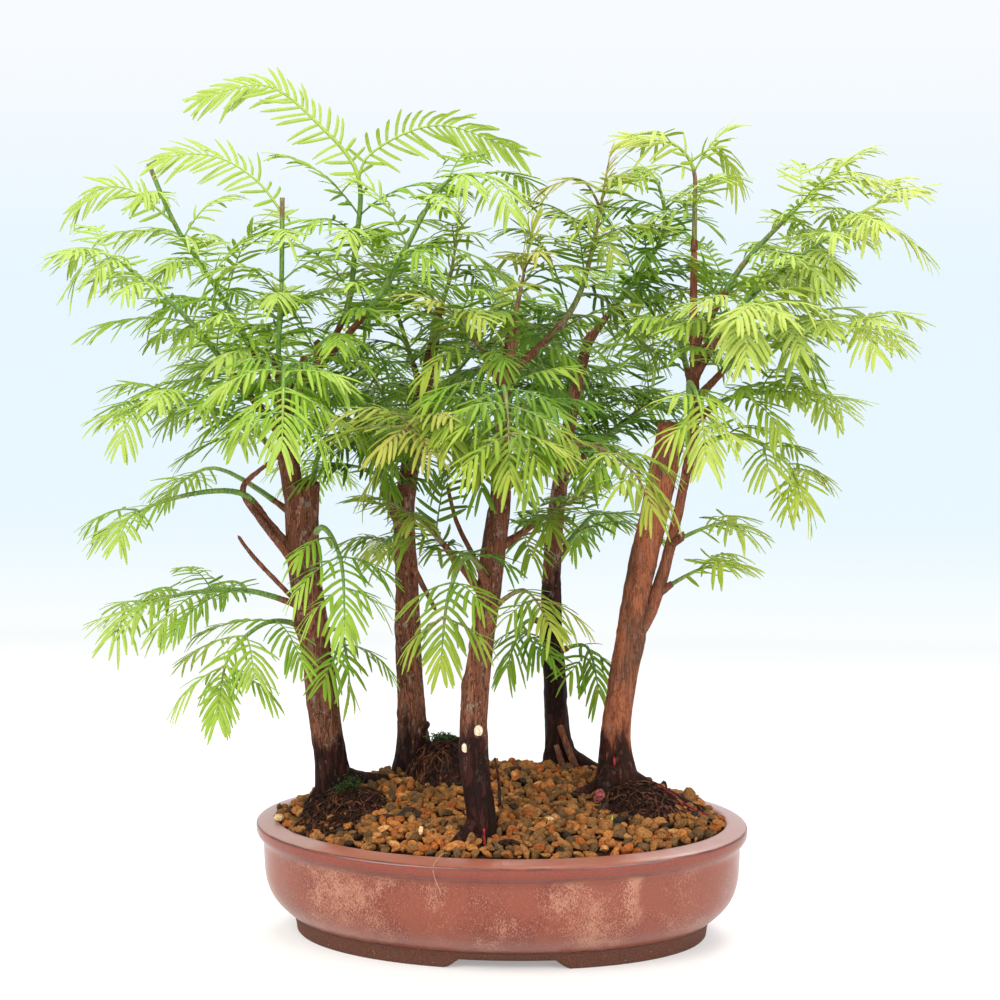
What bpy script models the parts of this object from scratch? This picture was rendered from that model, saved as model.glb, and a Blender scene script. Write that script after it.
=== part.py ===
import math
import random

import bpy
from mathutils import Matrix, Vector, geometry
from mathutils.bvhtree import BVHTree

# Every size and place below is in millimetres. Right is +X, the back is +Y, and the tray stands on Z = 0.
MM = 0.001
GAP = 0.3
UP = Vector((0, 0, 1))

# Oval tray: each ring is (inset from the rim's outline, height), from the inner floor over the lip and down.
POT_X = 4
RIM_HALF = (125, 78)
POT_SEGMENTS = 32
INNER_RINGS = [(30, 12), (24, 19), (12.5, 50)]
LIP_RINGS = [(11, 59.2), (9.4, 59.8), (1, 58), (0, 57), (0.2, 52.8), (3.3, 49.6)]
WALL_RINGS = [(3.7, 41), (4.9, 29.5), (9.4, 17.8), (17.4, 9.8)]
FOOT_RINGS = [(19.2, 8.9), (20.2, 0), (31, 0), (32, 7)]
FOOT_ARCH = {"middle": 11, "half_width": 30, "half_top": 23.5, "height": 5}
DRAIN = {"out": 48, "radius": 6, "sides": 12}
MESH_PLATE = {"half": 9.5, "thick": 1.2, "bar": 2, "holes": 2}
ROUND_ANGLE = 40

# Gritty soil: a full mound in the tray, higher towards the back. Its stones are low six-sided peaks.
SOIL_EDGE = 57.5
SOIL_INSET = 11.8
WALL_GAP = 0.4
SOIL_FLOOR = 12.35
MOUND = 13.5
MOUND_TILT = 0.12
MOUND_POWER = 6
STONE_STEP = 7.2
STONE_ROW = STONE_STEP * math.sin(math.radians(60))
STONE_SHIFT = 0.7
STONE_PEAK = 1.1
STONE_DIP = 0.5

# Wood. TWIG_CLEAR is how far a twig's wood stands out of its limb before the green stem takes over.
BURIED = 38
TRUNK_SIDES = 8
LIMB_STEP = 21
LEADER_SIDES = 5
ROOT_STEP = 12
ROOT_SIDES = 4
ROOT_ARC = [(0, 9, 4.2), (0.35, 3, 3.6), (0.7, 0.6, 2.6), (1, -2.5, 1.6)]
TWIG_SIDES = 3
TWIG_STEP = 24
TWIG = {"root": 2.2, "tip": 1.4}
TWIG_CLEAR = 3.5
SOCKET_GAP = 0.5

# Leafy shoots. A frond is a slim rib with a leaflet drawn out on each side of every pitch. Fronds set out in
# pairs along the stem, the youngest at the tip the shortest, and lift a little before they droop.
RIB = 0.8
RIB_TIP = 0.35
STEM = 1.4
STEM_STEP = 14
PITCH = 6.0
TIP_LEAFY = 40
PAIR_STEP = 19
FROND = {"roll": 18, "spread": (48, 66), "lift": (0.1, 0.4), "youngest": 30, "more": 7, "longest": 50,
         "droop": (0.5, 1.2)}
LEAFLET = 15.5
LEAFLET_SWEEP = (18, 62)
LEAFLET_DROP = 0.22
CLEAR = 0.45
GREEN_PER_FROND = 63
LEAST_LEAFY = 1.3

# The trees' knots are laid out for a viewer who stands a little to the right of the tray's middle line. They
# are turned by this many degrees, with the tray's middle at this X and its foot that much lower.
VIEW = {"turn": 4, "x": 9, "foot": 4.7}

# Each tree: how much its base flares, limbs as knots (x, y, z, radius), roots as (turn in degrees, length),
# and shoots as (limb, height where it leaves the limb, share that is wood, knots on to the tip). A shoot that
# forks also lists its forks as (share of its length, knots).
TREES = {
    "left": {
        "flare": 0.14,
        "limbs": {
            "trunk": [(-76, 14, BURIED, 11), (-76, 14, 58, 11.5), (-78, 14, 78, 8.4), (-85.6, 14, 144, 7.7),
                      (-91, 14, 186, 7.8), (-91, 13, 227, 8.6)],
            "leader": [(-92, 13, 196, 5), (-96, 12, 226, 5.2), (-98, 11, 252, 5), (-88, 10, 280, 5)],
        },
        "roots": [(20, 26), (215, 9)],
        "shoots": [
            ("leader", 272, 0.2, [(-69, 10, 308), (-63, 10, 342), (-61, 10, 378), (-80, 10, 403),
                                  (-106, 9, 422), (-138, 6, 415)],
             [(0.53, [(-56, 10, 388), (-35, 9, 400), (-14, 8, 402), (17, 6, 390)])]),
            ("leader", 264, 0.1, [(-100, -4, 290), (-98, -6, 325), (-97, -6, 368)],
             [(0.93, [(-108, -6, 375), (-124, -6, 386), (-141, -8, 389), (-156, -10, 386)])]),
            ("leader", 276, 0.3, [(-55, -8, 314), (-39, -10, 340), (-19, -12, 374), (2, -14, 379),
                                  (20, -15, 367)]),
            ("leader", 258, 0.3, [(-131, 28, 317), (-153, 30, 351), (-167, 30, 384)],
             [(0.78, [(-176, 28, 371), (-192, 27, 371), (-203, 26, 362)])]),
            ("leader", 246, 0.3, [(-141, -16, 308), (-168, -20, 333), (-184, -24, 342), (-198, -27, 326)]),
            ("leader", 234, 0.2, [(-118, -8, 258), (-150, -26, 272), (-184, -34, 264)]),
            ("trunk", 184, 0.35, [(-107, 6, 206), (-118, 0, 221), (-136, -8, 224), (-161, -18, 219),
                                  (-186, -26, 206)]),
            ("trunk", 160, 0.15, [(-120, 18, 169), (-155, 22, 166), (-196, 24, 153)]),
            ("trunk", 150, 0.2, [(-106, -16, 160), (-124, -32, 146), (-128, -44, 122)]),
            ("leader", 250, 0.2, [(-94, -40, 288), (-90, -88, 284), (-88, -120, 260)]),
            ("trunk", 186, 0.3, [(-78, -30, 210), (-66, -68, 200), (-63, -92, 172)]),
            ("trunk", 146, 0.1, [(-72, 6, 150), (-67, 2, 122)]),
            ("leader", 240, 0.2, [(-112, 56, 276), (-126, 96, 288), (-132, 126, 274)]),
            ("trunk", 200, 0.2, [(-88, 62, 226), (-92, 106, 222), (-96, 132, 204)]),
            ("trunk", 206, 0.2, [(-140, 60, 226), (-172, 84, 206)]),
        ],
    },
    "back_left": {
        "flare": 0.2,
        "limbs": {
            "trunk": [(-33, 40, BURIED, 13), (-33, 40, 62, 14.5), (-37, 40, 87, 8), (-39, 40, 138, 6.6),
                      (-40, 40, 181, 5.6), (-40.4, 40, 212, 5.1), (-27, 41, 285, 3), (-22, 42, 312, 2.1)],
        },
        "roots": [(330, 20)],
        "shoots": [
            ("trunk", 308, 0.1, [(-16, 45, 330), (-12, 46, 362)]),
            ("trunk", 236, 0.2, [(-58, 80, 272), (-72, 112, 292)]),
            ("trunk", 222, 0.2, [(-36, 92, 252), (-34, 124, 262), (-34, 141, 246)]),
            ("trunk", 196, 0.3, [(-57, 30, 240), (-60, 4, 258), (-62, -24, 252)]),
            ("trunk", 254, 0.2, [(-6, 82, 284), (6, 116, 288)]),
            ("trunk", 168, 0.2, [(-54, 84, 184), (-62, 118, 170)]),
            ("trunk", 266, 0.2, [(-46, 58, 312), (-56, 68, 344)]),
        ],
    },
    "front": {
        "flare": 0.06,
        "limbs": {
            "trunk": [(0.5, -44, BURIED, 7.4), (0.3, -44, 62, 7), (-3.8, -44, 95, 7), (-4.3, -44, 118, 6.6),
                      (-2.1, -44, 142, 6), (2.2, -44, 172, 5.6), (5, -44, 198, 5.8), (8.6, -44, 226, 4.9),
                      (10, -44, 262, 3.8), (15, -44, 312, 2.3)],
        },
        "roots": [(215, 16)],
        "shoots": [
            ("trunk", 308, 0.1, [(20, -42, 334), (24, -40, 356)]),
            ("trunk", 246, 0.2, [(10, -88, 284), (12, -128, 276), (13, -152, 252)]),
            ("trunk", 238, 0.2, [(-24, -84, 268), (-44, -118, 260)]),
            ("trunk", 230, 0.2, [(42, -86, 258), (66, -122, 252), (75, -140, 236)]),
            ("trunk", 176, 0.45, [(-14, -52, 200), (-31, -60, 220), (-50, -76, 230)]),
            ("trunk", 182, 0.2, [(-6, -74, 204), (-15, -102, 190), (-18, -118, 162)]),
            ("trunk", 200, 0.4, [(27, -44, 215), (50, -58, 232)]),
            ("trunk", 170, 0.2, [(20, -76, 188), (32, -106, 176)]),
            ("trunk", 278, 0.2, [(-10, -66, 314), (-24, -84, 324)]),
            ("trunk", 286, 0.3, [(30, -30, 300), (45, -20, 318), (53, -20, 344), (61, -20, 388)],
             [(0.8, [(47, -20, 377), (28, -20, 372)])]),
        ],
    },
    "back_right": {
        "flare": 0.2,
        "limbs": {
            "trunk": [(41, 46, BURIED, 7.4), (41, 47, 66, 8.4), (39, 50, 88, 6.4), (36, 55, 145, 5.3),
                      (36, 56, 178, 4.6), (40, 56, 219, 4), (47, 56, 262, 3.1), (55, 56, 298, 2.3)],
        },
        "roots": [(345, 26)],
        "shoots": [
            ("trunk", 292, 0.15, [(76, 58, 322), (92, 60, 346), (92, 60, 366), (84, 59, 380), (68, 58, 374)]),
            ("trunk", 238, 0.2, [(46, 98, 268), (50, 128, 272), (52, 141, 254)]),
            ("trunk", 222, 0.2, [(82, 92, 252), (112, 122, 260)]),
            ("trunk", 250, 0.2, [(22, 92, 296), (14, 112, 318)]),
            ("trunk", 142, 0.25, [(22, 50, 146), (12, 38, 124)]),
            ("trunk", 128, 0.15, [(54, 44, 134), (60, 32, 112)]),
            ("trunk", 176, 0.2, [(60, 96, 196), (74, 128, 186)]),
        ],
    },
    "right": {
        "flare": 0.2,
        "limbs": {
            "trunk": [(71, 7, BURIED, 12.5), (70, 7, 61, 12.8), (68, 7, 81, 9), (67.5, 7, 100, 7.3),
                      (73, 7, 140, 6.8), (79, 7, 178, 6.9), (86.6, 6, 214, 6.8), (95, 5, 257, 7.3)],
            "leader": [(78, 7, 150, 4.2), (85, 6.5, 163, 3.9), (91, 5.5, 182, 3), (96.5, 4, 206, 2.5),
                       (101, 3, 230, 2.4), (105, 2, 258, 2.3), (104, 4, 310, 1.9), (104, 5, 345, 1.5)],
        },
        "roots": [(345, 34), (200, 20)],
        "shoots": [
            ("leader", 342, 0.05, [(104, 5, 362), (103, 4, 382), (92, 2, 394), (70, 0, 396)],
             [(0.55, [(115, 4, 392), (124, 4, 377)])]),
            ("leader", 294, 0.25, [(120, 14, 320), (136, 18, 342), (177, 22, 382), (190, 22, 391)],
             [(0.78, [(184, 12, 376), (199, 4, 374)])]),
            ("leader", 280, 0.25, [(130, 0, 318), (162, -8, 345), (189, -10, 364), (211, -10, 373)],
             [(0.7, [(192, -20, 356), (213, -24, 342)])]),
            ("leader", 268, 0.2, [(132, -20, 298), (165, -38, 310), (196, -48, 302)]),
            ("leader", 258, 0.2, [(123, 0, 270), (150, -5, 273), (182, -8, 270)]),
            ("leader", 238, 0.2, [(115, -6, 250), (131, -10, 251), (150, -14, 238), (161, -16, 216)]),
            ("leader", 196, 0.15, [(118, 4, 206), (136, 2, 203)]),
            ("leader", 170, 0.2, [(110, 0, 184), (130, -2, 186)]),
            ("leader", 298, 0.2, [(130, 56, 322), (158, 80, 322)]),
            ("leader", 268, 0.2, [(102, 60, 296), (110, 104, 302), (114, 130, 286)]),
            ("leader", 252, 0.2, [(98, -46, 282), (100, -86, 276), (101, -110, 254)]),
            ("leader", 288, 0.2, [(124, -44, 318), (138, -80, 316)]),
        ],
    },
}
LEAF_COLOURS = {
    "left": (0.36, 0.56, 0.08), "back_left": (0.22, 0.45, 0.08), "front": (0.42, 0.45, 0.09),
    "back_right": (0.24, 0.48, 0.08), "right": (0.5, 0.62, 0.08),
}


def clear_scene():
    for obj in list(bpy.data.objects):
        bpy.data.objects.remove(obj, do_unlink=True)


def material(name, colour, roughness):
    made = bpy.data.materials.new(name)
    made.use_nodes = True
    shader = made.node_tree.nodes["Principled BSDF"]
    shader.inputs["Base Color"].default_value = (*colour, 1)
    shader.inputs["Roughness"].default_value = roughness
    return made


def add_object(name, points, faces, shade, collection=None):
    """An object whose points are given in millimetres."""
    mesh = bpy.data.meshes.new(name)
    mesh.from_pydata([Vector(point) * MM for point in points], [], faces)
    mesh.materials.append(shade)
    obj = bpy.data.objects.new(name, mesh)
    (collection or bpy.context.scene.collection).objects.link(obj)
    return obj


def shade_round(obj):
    obj.data.shade_smooth()
    obj.data.set_sharp_from_angle(angle=math.radians(ROUND_ANGLE))


def combine(obj, pieces, operation, solver="EXACT"):
    """Joins the pieces to the object, or cuts them from it, by one Boolean on their collection."""
    group = bpy.data.collections.new(obj.name + "_pieces")
    bpy.context.scene.collection.children.link(group)
    for number, (points, faces) in enumerate(pieces):
        add_object(f"{obj.name}_piece_{number}", points, faces, obj.data.materials[0], group)
    boolean = obj.modifiers.new(operation.lower(), "BOOLEAN")
    boolean.operation = operation
    boolean.operand_type = "COLLECTION"
    boolean.collection = group
    boolean.solver = solver
    bpy.context.view_layer.update()
    graph = bpy.context.evaluated_depsgraph_get()
    joined = bpy.data.meshes.new_from_object(obj.evaluated_get(graph))
    obj.modifiers.clear()
    obj.data = joined
    for piece in list(group.objects):
        bpy.data.objects.remove(piece, do_unlink=True)
    bpy.data.collections.remove(group)


def smooth_knots(knots, steps=6):
    """A Catmull-Rom run through the knots, with the ends doubled."""
    row = [Vector(knot) for knot in knots]
    row = [row[0]] + row + [row[-1]]
    run = []
    for before, start, end, after in zip(row, row[1:], row[2:], row[3:]):
        bend = 2 * before - 5 * start + 4 * end - after
        twist = 3 * start - before - 3 * end + after
        for count in range(steps):
            t = count / steps
            run.append(0.5 * (2 * start + (end - before) * t + bend * t ** 2 + twist * t ** 3))
    return run + [row[-1]]


class Run:
    """A smooth line through knots, read by its length from the start."""

    def __init__(self, knots):
        self.points = smooth_knots(knots)
        self.reach = [0.0]
        for start, end in zip(self.points, self.points[1:]):
            self.reach.append(self.reach[-1] + (end.xyz - start.xyz).length)
        self.length = self.reach[-1]

    def at(self, along):
        """The point and the direction at this length."""
        last = len(self.points) - 2
        index = next((i for i in range(last + 1) if self.reach[i + 1] >= along), last)
        start, end = self.points[index], self.points[index + 1]
        share = (along - self.reach[index]) / (self.reach[index + 1] - self.reach[index])
        return start.lerp(end, share), (end.xyz - start.xyz).normalized()

    def at_height(self, z):
        """The point where a limb first reaches this height."""
        index = next((i for i, point in enumerate(self.points) if point.z >= z), len(self.points) - 1)
        start, end = self.points[max(index - 1, 0)], self.points[index]
        rise = end.z - start.z
        return start.lerp(end, (z - start.z) / rise if rise else 0)


def tube(centres, radii, sides, lobes=(), last_way=None):
    """Rings round a line of centres, closed by flat ends. Each lobe is (ring, depth, count, turn)."""
    lobed = {ring: (depth, count, turn) for ring, depth, count, turn in lobes}
    points, faces = [], []
    across = None
    for i, (centre, radius) in enumerate(zip(centres, radii)):
        way = (centres[min(i + 1, len(centres) - 1)] - centres[max(i - 1, 0)]).normalized()
        way = last_way if last_way and i == len(centres) - 1 else way
        across = (across or Vector((0.3, 1, 0.1))).cross(way).cross(way).normalized() * -1
        other = way.cross(across)
        depth, count, turn = lobed.get(i, (0, 1, 0))
        for k in range(sides):
            angle = math.tau * k / sides
            swell = radius * (1 + depth * math.cos(count * angle + turn))
            points.append(centre + (across * math.cos(angle) + other * math.sin(angle)) * swell)
    for i in range(len(centres) - 1):
        for k in range(sides):
            a, b = i * sides + k, i * sides + (k + 1) % sides
            faces += [(a, b, b + sides), (a, b + sides, a + sides)]
    faces.append(tuple(range(sides))[::-1])
    faces.append(tuple(range(len(points) - sides, len(points))))
    return points, faces


def limb_tube(run, step, sides, grow=0.0, lobes=()):
    """A limb's tube with a ring at each step, grown all round by some gap."""
    count = max(2, round(run.length / step))
    knots = [run.at(run.length * i / count)[0] for i in range(count + 1)]
    centres = [knot.xyz for knot in knots]
    centres[0] -= run.at(0)[1] * grow
    centres[-1] += run.at(run.length)[1] * grow
    return tube(centres, [knot.w + grow / math.cos(math.pi / sides) for knot in knots], sides, lobes)


def oval(inset, z):
    """A ring of points on the rim's outline drawn in by the inset."""
    half_x, half_y = (half - inset for half in RIM_HALF)
    angles = [math.tau * k / POT_SEGMENTS for k in range(POT_SEGMENTS)]
    return [(POT_X + half_x * math.cos(angle), half_y * math.sin(angle), z) for angle in angles]


def ring_faces(rings):
    """Quads between each ring and the next, closed by a face over the first and last."""
    faces = []
    for i in range(rings - 1):
        for k in range(POT_SEGMENTS):
            a, b = i * POT_SEGMENTS + k, i * POT_SEGMENTS + (k + 1) % POT_SEGMENTS
            faces.append((a, a + POT_SEGMENTS, b + POT_SEGMENTS, b))
    last_ring = range((rings - 1) * POT_SEGMENTS, rings * POT_SEGMENTS)
    return faces + [tuple(range(POT_SEGMENTS)), tuple(reversed(last_ring))]


def box(low, high):
    """A box as points and outward faces."""
    points = [(x, y, z) for x in (low[0], high[0]) for y in (low[1], high[1]) for z in (low[2], high[2])]
    faces = [(0, 1, 3, 2), (4, 6, 7, 5), (0, 4, 5, 1), (2, 3, 7, 6), (0, 2, 6, 4), (1, 5, 7, 3)]
    return points, faces


def arch_cutter():
    """A trapezoid bar through the foot ring, which leaves a low arch at its front and its back."""
    middle, wide, top, height = (FOOT_ARCH[key] for key in ("middle", "half_width", "half_top", "height"))
    section = [(-wide, -1), (wide, -1), (top, height), (-top, height)]
    points = [(middle + side, end, z) for end in (-RIM_HALF[1], RIM_HALF[1]) for side, z in section]
    faces = [(0, 1, 2, 3), (7, 6, 5, 4), (0, 4, 5, 1), (1, 5, 6, 2), (2, 6, 7, 3), (3, 7, 4, 0)]
    return points, faces


def drain_places():
    return [POT_X - DRAIN["out"], POT_X + DRAIN["out"]]


def make_pot():
    """The glazed oval tray with its lip, bare foot ring, two foot arches and two drain holes."""
    rings = INNER_RINGS + LIP_RINGS + WALL_RINGS + FOOT_RINGS
    points = [point for inset, z in rings for point in oval(inset, z)]
    pot = add_object("pot", points, ring_faces(len(rings)), material("glaze", (0.35, 0.16, 0.12), 0.28))
    cutters = [arch_cutter()]
    for x in drain_places():
        ends = [Vector((x, 0, FOOT_RINGS[-1][1] - 1)), Vector((x, 0, INNER_RINGS[0][1] + 1))]
        cutters.append(tube(ends, [DRAIN["radius"]] * 2, DRAIN["sides"]))
    combine(pot, cutters, "DIFFERENCE")
    shade_round(pot)
    return pot


def make_drain_mesh(name, x, pot):
    """The plastic mesh that lies over a drain hole and keeps the soil in."""
    half, thick, bar, holes = (MESH_PLATE[key] for key in ("half", "thick", "bar", "holes"))
    low = INNER_RINGS[0][1] + GAP
    plate = box((x - half, -half, low), (x + half, half, low + thick))
    mesh = add_object(name, *plate, material("mesh_plastic", (0.05, 0.05, 0.05), 0.6))
    mesh.parent = pot
    pitch = (2 * half - bar) / holes
    cutters = []
    for i in range(holes):
        for j in range(holes):
            left, front = x - half + bar + i * pitch, -half + bar + j * pitch
            back_corner = (left + pitch - bar, front + pitch - bar, low + thick + 1)
            cutters.append(box((left, front, low - 1), back_corner))
    combine(mesh, cutters, "DIFFERENCE")


def soil_height(x, y):
    """The mound's height: level with the rim's inside at the edge, and higher to the back."""
    outward = math.hypot((x - POT_X) / (RIM_HALF[0] - SOIL_INSET), y / (RIM_HALF[1] - SOIL_INSET))
    return SOIL_EDGE + (MOUND + MOUND_TILT * y) * (1 - min(outward, 1) ** MOUND_POWER)


def stone_points():
    """A grid of triangles in which every third corner is a stone's peak and the rest lie in the cracks."""
    draw = random.Random("stones")
    half_x, half_y = (half - SOIL_INSET - 0.4 * STONE_STEP for half in RIM_HALF)
    points = []
    rows = math.ceil(RIM_HALF[1] / STONE_ROW)
    columns = math.ceil(RIM_HALF[0] / STONE_STEP)
    for j in range(-rows, rows + 1):
        for i in range(-columns, columns + 1):
            x = (i + 0.5 * (j % 2)) * STONE_STEP + draw.uniform(-STONE_SHIFT, STONE_SHIFT)
            y = j * STONE_ROW + draw.uniform(-STONE_SHIFT, STONE_SHIFT)
            peak = (i + 2 * (j % 2) + j // 2) % 3 == 0
            lift = STONE_PEAK + draw.uniform(-0.4, 0.5) if peak else -STONE_DIP + draw.uniform(-0.3, 0.3)
            if math.hypot(x / half_x, y / half_y) < 1:
                points.append((x + POT_X, y, soil_height(x + POT_X, y) + lift))
    return points


def make_soil(trees):
    """The soil that fills the tray, with sockets for each tree's base and roots and for the drain meshes."""
    rings = [(inset + WALL_GAP, max(z, SOIL_FLOOR)) for inset, z in INNER_RINGS]
    edge = oval(SOIL_INSET, SOIL_EDGE)
    flat = edge + stone_points()
    rim = [(k, (k + 1) % POT_SEGMENTS) for k in range(POT_SEGMENTS)]
    found = geometry.delaunay_2d_cdt([Vector(point[:2]) for point in flat], rim, [], 1, 1e-5)
    order = [origin[0] for origin in found[3]]
    points = [flat[index] for index in order]
    faces = [tuple(face) for face in found[2]]
    first = {index: position for position, index in enumerate(order) if index < POT_SEGMENTS}
    above = [first[k] for k in range(POT_SEGMENTS)]
    for inset, z in reversed(rings):
        below = list(range(len(points), len(points) + POT_SEGMENTS))
        points += oval(inset, z)
        for k in range(POT_SEGMENTS):
            after = (k + 1) % POT_SEGMENTS
            faces.append((above[k], below[k], below[after], above[after]))
        above = below
    faces.append(tuple(above)[::-1])
    soil = add_object("soil", points, faces, material("grit", (0.36, 0.27, 0.18), 0.95))
    cutters = [socket for tree in trees for socket in tree["sockets"]]
    half = MESH_PLATE["half"] + GAP
    for x in drain_places():
        cutters.append(box((x - half, -half, SOIL_FLOOR - 1),
                           (x + half, half, INNER_RINGS[0][1] + MESH_PLATE["thick"] + 2 * GAP)))
    combine(soil, cutters, "DIFFERENCE")
    return soil


def root_run(base, turn, length):
    """A surface root that leaves the trunk, lies half sunk on the mound and dives into it at its end."""
    way = Vector((math.cos(math.radians(turn)), math.sin(math.radians(turn)), 0))
    inside = ROOT_ARC[-1][2] + 1.4
    knots = []
    for share, lift, radius in ROOT_ARC:
        out = base.xyz + way * (inside + share * (base.w + length - inside))
        knots.append((out.x, out.y, soil_height(out.x, out.y) + lift, radius))
    return Run(knots)


def planted(knots):
    """Knots as the viewer sees them, turned to the tray's own axes and raised to its foot."""
    turn = Matrix.Rotation(math.radians(VIEW["turn"]), 3, "Z")
    row = []
    for x, y, z, *radius in knots:
        point = turn @ Vector((x - VIEW["x"], y, z + VIEW["foot"]))
        row.append((point.x + POT_X, point.y, point.z, *radius))
    return row


def plan_tree(name, tree):
    """The limbs, roots and shoots of one tree as smooth runs, and its sockets in the soil."""
    limbs = {key: Run(planted(knots)) for key, knots in tree["limbs"].items()}
    base = Vector(planted(tree["limbs"]["trunk"])[1])
    roots = [root_run(base, turn + VIEW["turn"], length) for turn, length in tree["roots"]]
    shoots = []
    for number, (limb, height, wood, knots, *forks) in enumerate(tree["shoots"], 1):
        start = limbs[limb].at_height(height + VIEW["foot"])
        run = Run([start.xyz, *planted(knots)])
        bare = max(run.length * wood, start.w + TWIG_CLEAR)
        forks = [Run([run.at(run.length * share)[0], *planted(tips)])
                 for share, tips in (forks[0] if forks else [])]
        shoots.append({"name": f"leafy_shoot_{name}_{number}", "run": run, "wood": bare, "forks": forks})
    flare = tree["flare"]
    lobes = [(1, 0.5 * flare, 3, base.x), (2, flare, 3, base.x), (3, 0.5 * flare, 3, base.x)]
    sockets = [limb_tube(limbs["trunk"], LIMB_STEP, TRUNK_SIDES, SOCKET_GAP, lobes)]
    sockets += [limb_tube(root, ROOT_STEP, ROOT_SIDES, SOCKET_GAP) for root in roots]
    return {"limbs": limbs, "roots": roots, "shoots": shoots, "lobes": lobes, "sockets": sockets}


def twig_tube(shoot):
    """The woody part of a shoot, from inside its limb to where the green stem starts."""
    run, end = shoot["run"], shoot["wood"]
    count = max(2, round(end / TWIG_STEP))
    centres = [run.at(end * i / count)[0] for i in range(count + 1)]
    radii = [TWIG["root"] + (TWIG["tip"] - TWIG["root"]) * i / count for i in range(count + 1)]
    return tube(centres, radii, TWIG_SIDES, last_way=run.at(end)[1])


def make_wood(name, tree, shade):
    """One tree's trunk, leader, twigs and roots as a single piece of wood."""
    limbs = tree["limbs"]
    trunk = limb_tube(limbs["trunk"], LIMB_STEP, TRUNK_SIDES, lobes=tree["lobes"])
    wood = add_object("trunk_" + name, *trunk, shade)
    pieces = [limb_tube(run, LIMB_STEP, LEADER_SIDES) for key, run in limbs.items() if key != "trunk"]
    pieces += [limb_tube(root, ROOT_STEP, ROOT_SIDES) for root in tree["roots"]]
    combine(wood, pieces + [twig_tube(shoot) for shoot in tree["shoots"]], "UNION")
    shade_round(wood)
    return wood


def frame_at(way, roll=0.0):
    """The sideways and upward directions of a rib that runs this way, turned by a roll in radians."""
    side = way.cross(UP)
    side = side.normalized() if side.length > 0.15 else Vector((1, 0, 0)).cross(way).normalized()
    side = Matrix.Rotation(roll, 3, way) @ side
    return side, side.cross(way)


def frond_line(frond, step):
    """Points along a frond, which sets out sideways from its stem, rises a little and then droops."""
    points, way = [frond["root"]], frond["way"]
    for count in range(1, max(4, round(frond["length"] / step)) + 1):
        points.append(points[-1] + way * step)
        way = (frond["way"] - UP * frond["droop"] * (count * step / frond["length"])).normalized()
    return points


def frond_plan(shoot):
    """Every frond of a shoot in pairs from its tip inwards, drawn from the shoot's own seed."""
    draw = random.Random(shoot["name"])
    run, plan = shoot["run"], []
    for count in range(max(1, int((run.length - 0.5 * TIP_LEAFY) / PAIR_STEP))):
        along = run.length - 0.55 * TIP_LEAFY - count * PAIR_STEP
        root, way = run.at(max(along, 0.1))
        steep = abs(way.z) > 0.75
        for hand in (-1, 1):
            roll = 90 * count * steep + draw.uniform(-FROND["roll"], FROND["roll"])
            side = frame_at(way, math.radians(roll))[0]
            spread = math.radians(draw.uniform(*FROND["spread"]))
            lift = UP * draw.uniform(*FROND["lift"])
            out = way * math.cos(spread) + side * hand * math.sin(spread) + lift
            long = min(FROND["youngest"] + FROND["more"] * count, FROND["longest"])
            plan.append({
                "root": root.xyz, "way": out.normalized(), "along": along,
                "length": long * draw.uniform(0.85, 1.15),
                "droop": draw.uniform(*FROND["droop"]), "leaflet": LEAFLET * draw.uniform(0.85, 1.1),
            })
    return plan


def leaflet_tips(stations, first, longest, grow=0.0):
    """The tip of each leaflet, keyed by (station, hand): longest mid-frond, and swept forward at its tip."""
    tips = {}
    last = len(stations) - 1
    for i in range(first, last):
        share = (i - first + 0.5) / (last - first)
        sweep = math.radians(LEAFLET_SWEEP[0] + (LEAFLET_SWEEP[1] - LEAFLET_SWEEP[0]) * share)
        long = longest * (0.7 + 0.5 * math.sin(math.pi * min(0.15 + 0.8 * share, 1))) + grow
        here, after = stations[i], stations[i + 1]
        way = (after["point"] - here["point"]).normalized()
        for hand in (-1, 1):
            out = here["side"] * hand * math.cos(sweep) + way * math.sin(sweep) - here["up"] * LEAFLET_DROP
            tips[i, hand] = (here["point"] + after["point"]) * 0.5 + out.normalized() * long
    return tips


def stations_on(points, radii, first_way):
    """A rib's stations: each point with its sideways and upward directions and its half width."""
    stations = []
    for i, (point, radius) in enumerate(zip(points, radii)):
        way = (points[min(i + 1, len(points) - 1)] - points[i - 1]).normalized() if i else first_way
        side, up = frame_at(way)
        if stations and side.dot(stations[-1]["side"]) < 0:
            side, up = -side, -up
        stations.append({"point": point, "side": side, "up": side.cross(way), "way": way, "half": radius})
    return stations


def rib_corners(station):
    """The left, right and top corners of the rib's three-sided section."""
    point, side, up, half = (station[key] for key in ("point", "side", "up", "half"))
    return [point - side * half - up * half * 0.5, point + side * half - up * half * 0.5, point + up * half]


def rib_mesh(stations, tips):
    """A three-sided rib, with its side faces drawn out to the leaflets' tips and its end drawn to a point."""
    points = [corner for station in stations for corner in rib_corners(station)]
    faces = [(0, 1, 2)]
    for i in range(len(stations) - 1):
        left, right, top = 3 * i, 3 * i + 1, 3 * i + 2
        faces.append((left, left + 3, right + 3, right))
        for hand, base in ((-1, (left, top, top + 3, left + 3)), (1, (right, right + 3, top + 3, top))):
            if (i, hand) not in tips:
                faces.append(base)
                continue
            points.append(tips[i, hand])
            faces += [(base[k], base[(k + 1) % 4], len(points) - 1) for k in range(4)]
    last = stations[-1]
    points.append(last["point"] + last["way"] * LEAFLET * 0.6 - last["up"] * 2)
    left, right, top = 3 * len(stations) - 3, 3 * len(stations) - 2, 3 * len(stations) - 1
    end = len(points) - 1
    return points, faces + [(left, top, end), (top, right, end), (right, left, end)]


def tree_of(pieces):
    """A search tree over the faces of several meshes."""
    points, faces = [], []
    for some_points, some_faces in pieces:
        faces += [tuple(index + len(points) for index in face) for face in some_faces]
        points += [Vector(point) for point in some_points]
    return BVHTree.FromPolygons(points, faces)


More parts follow.
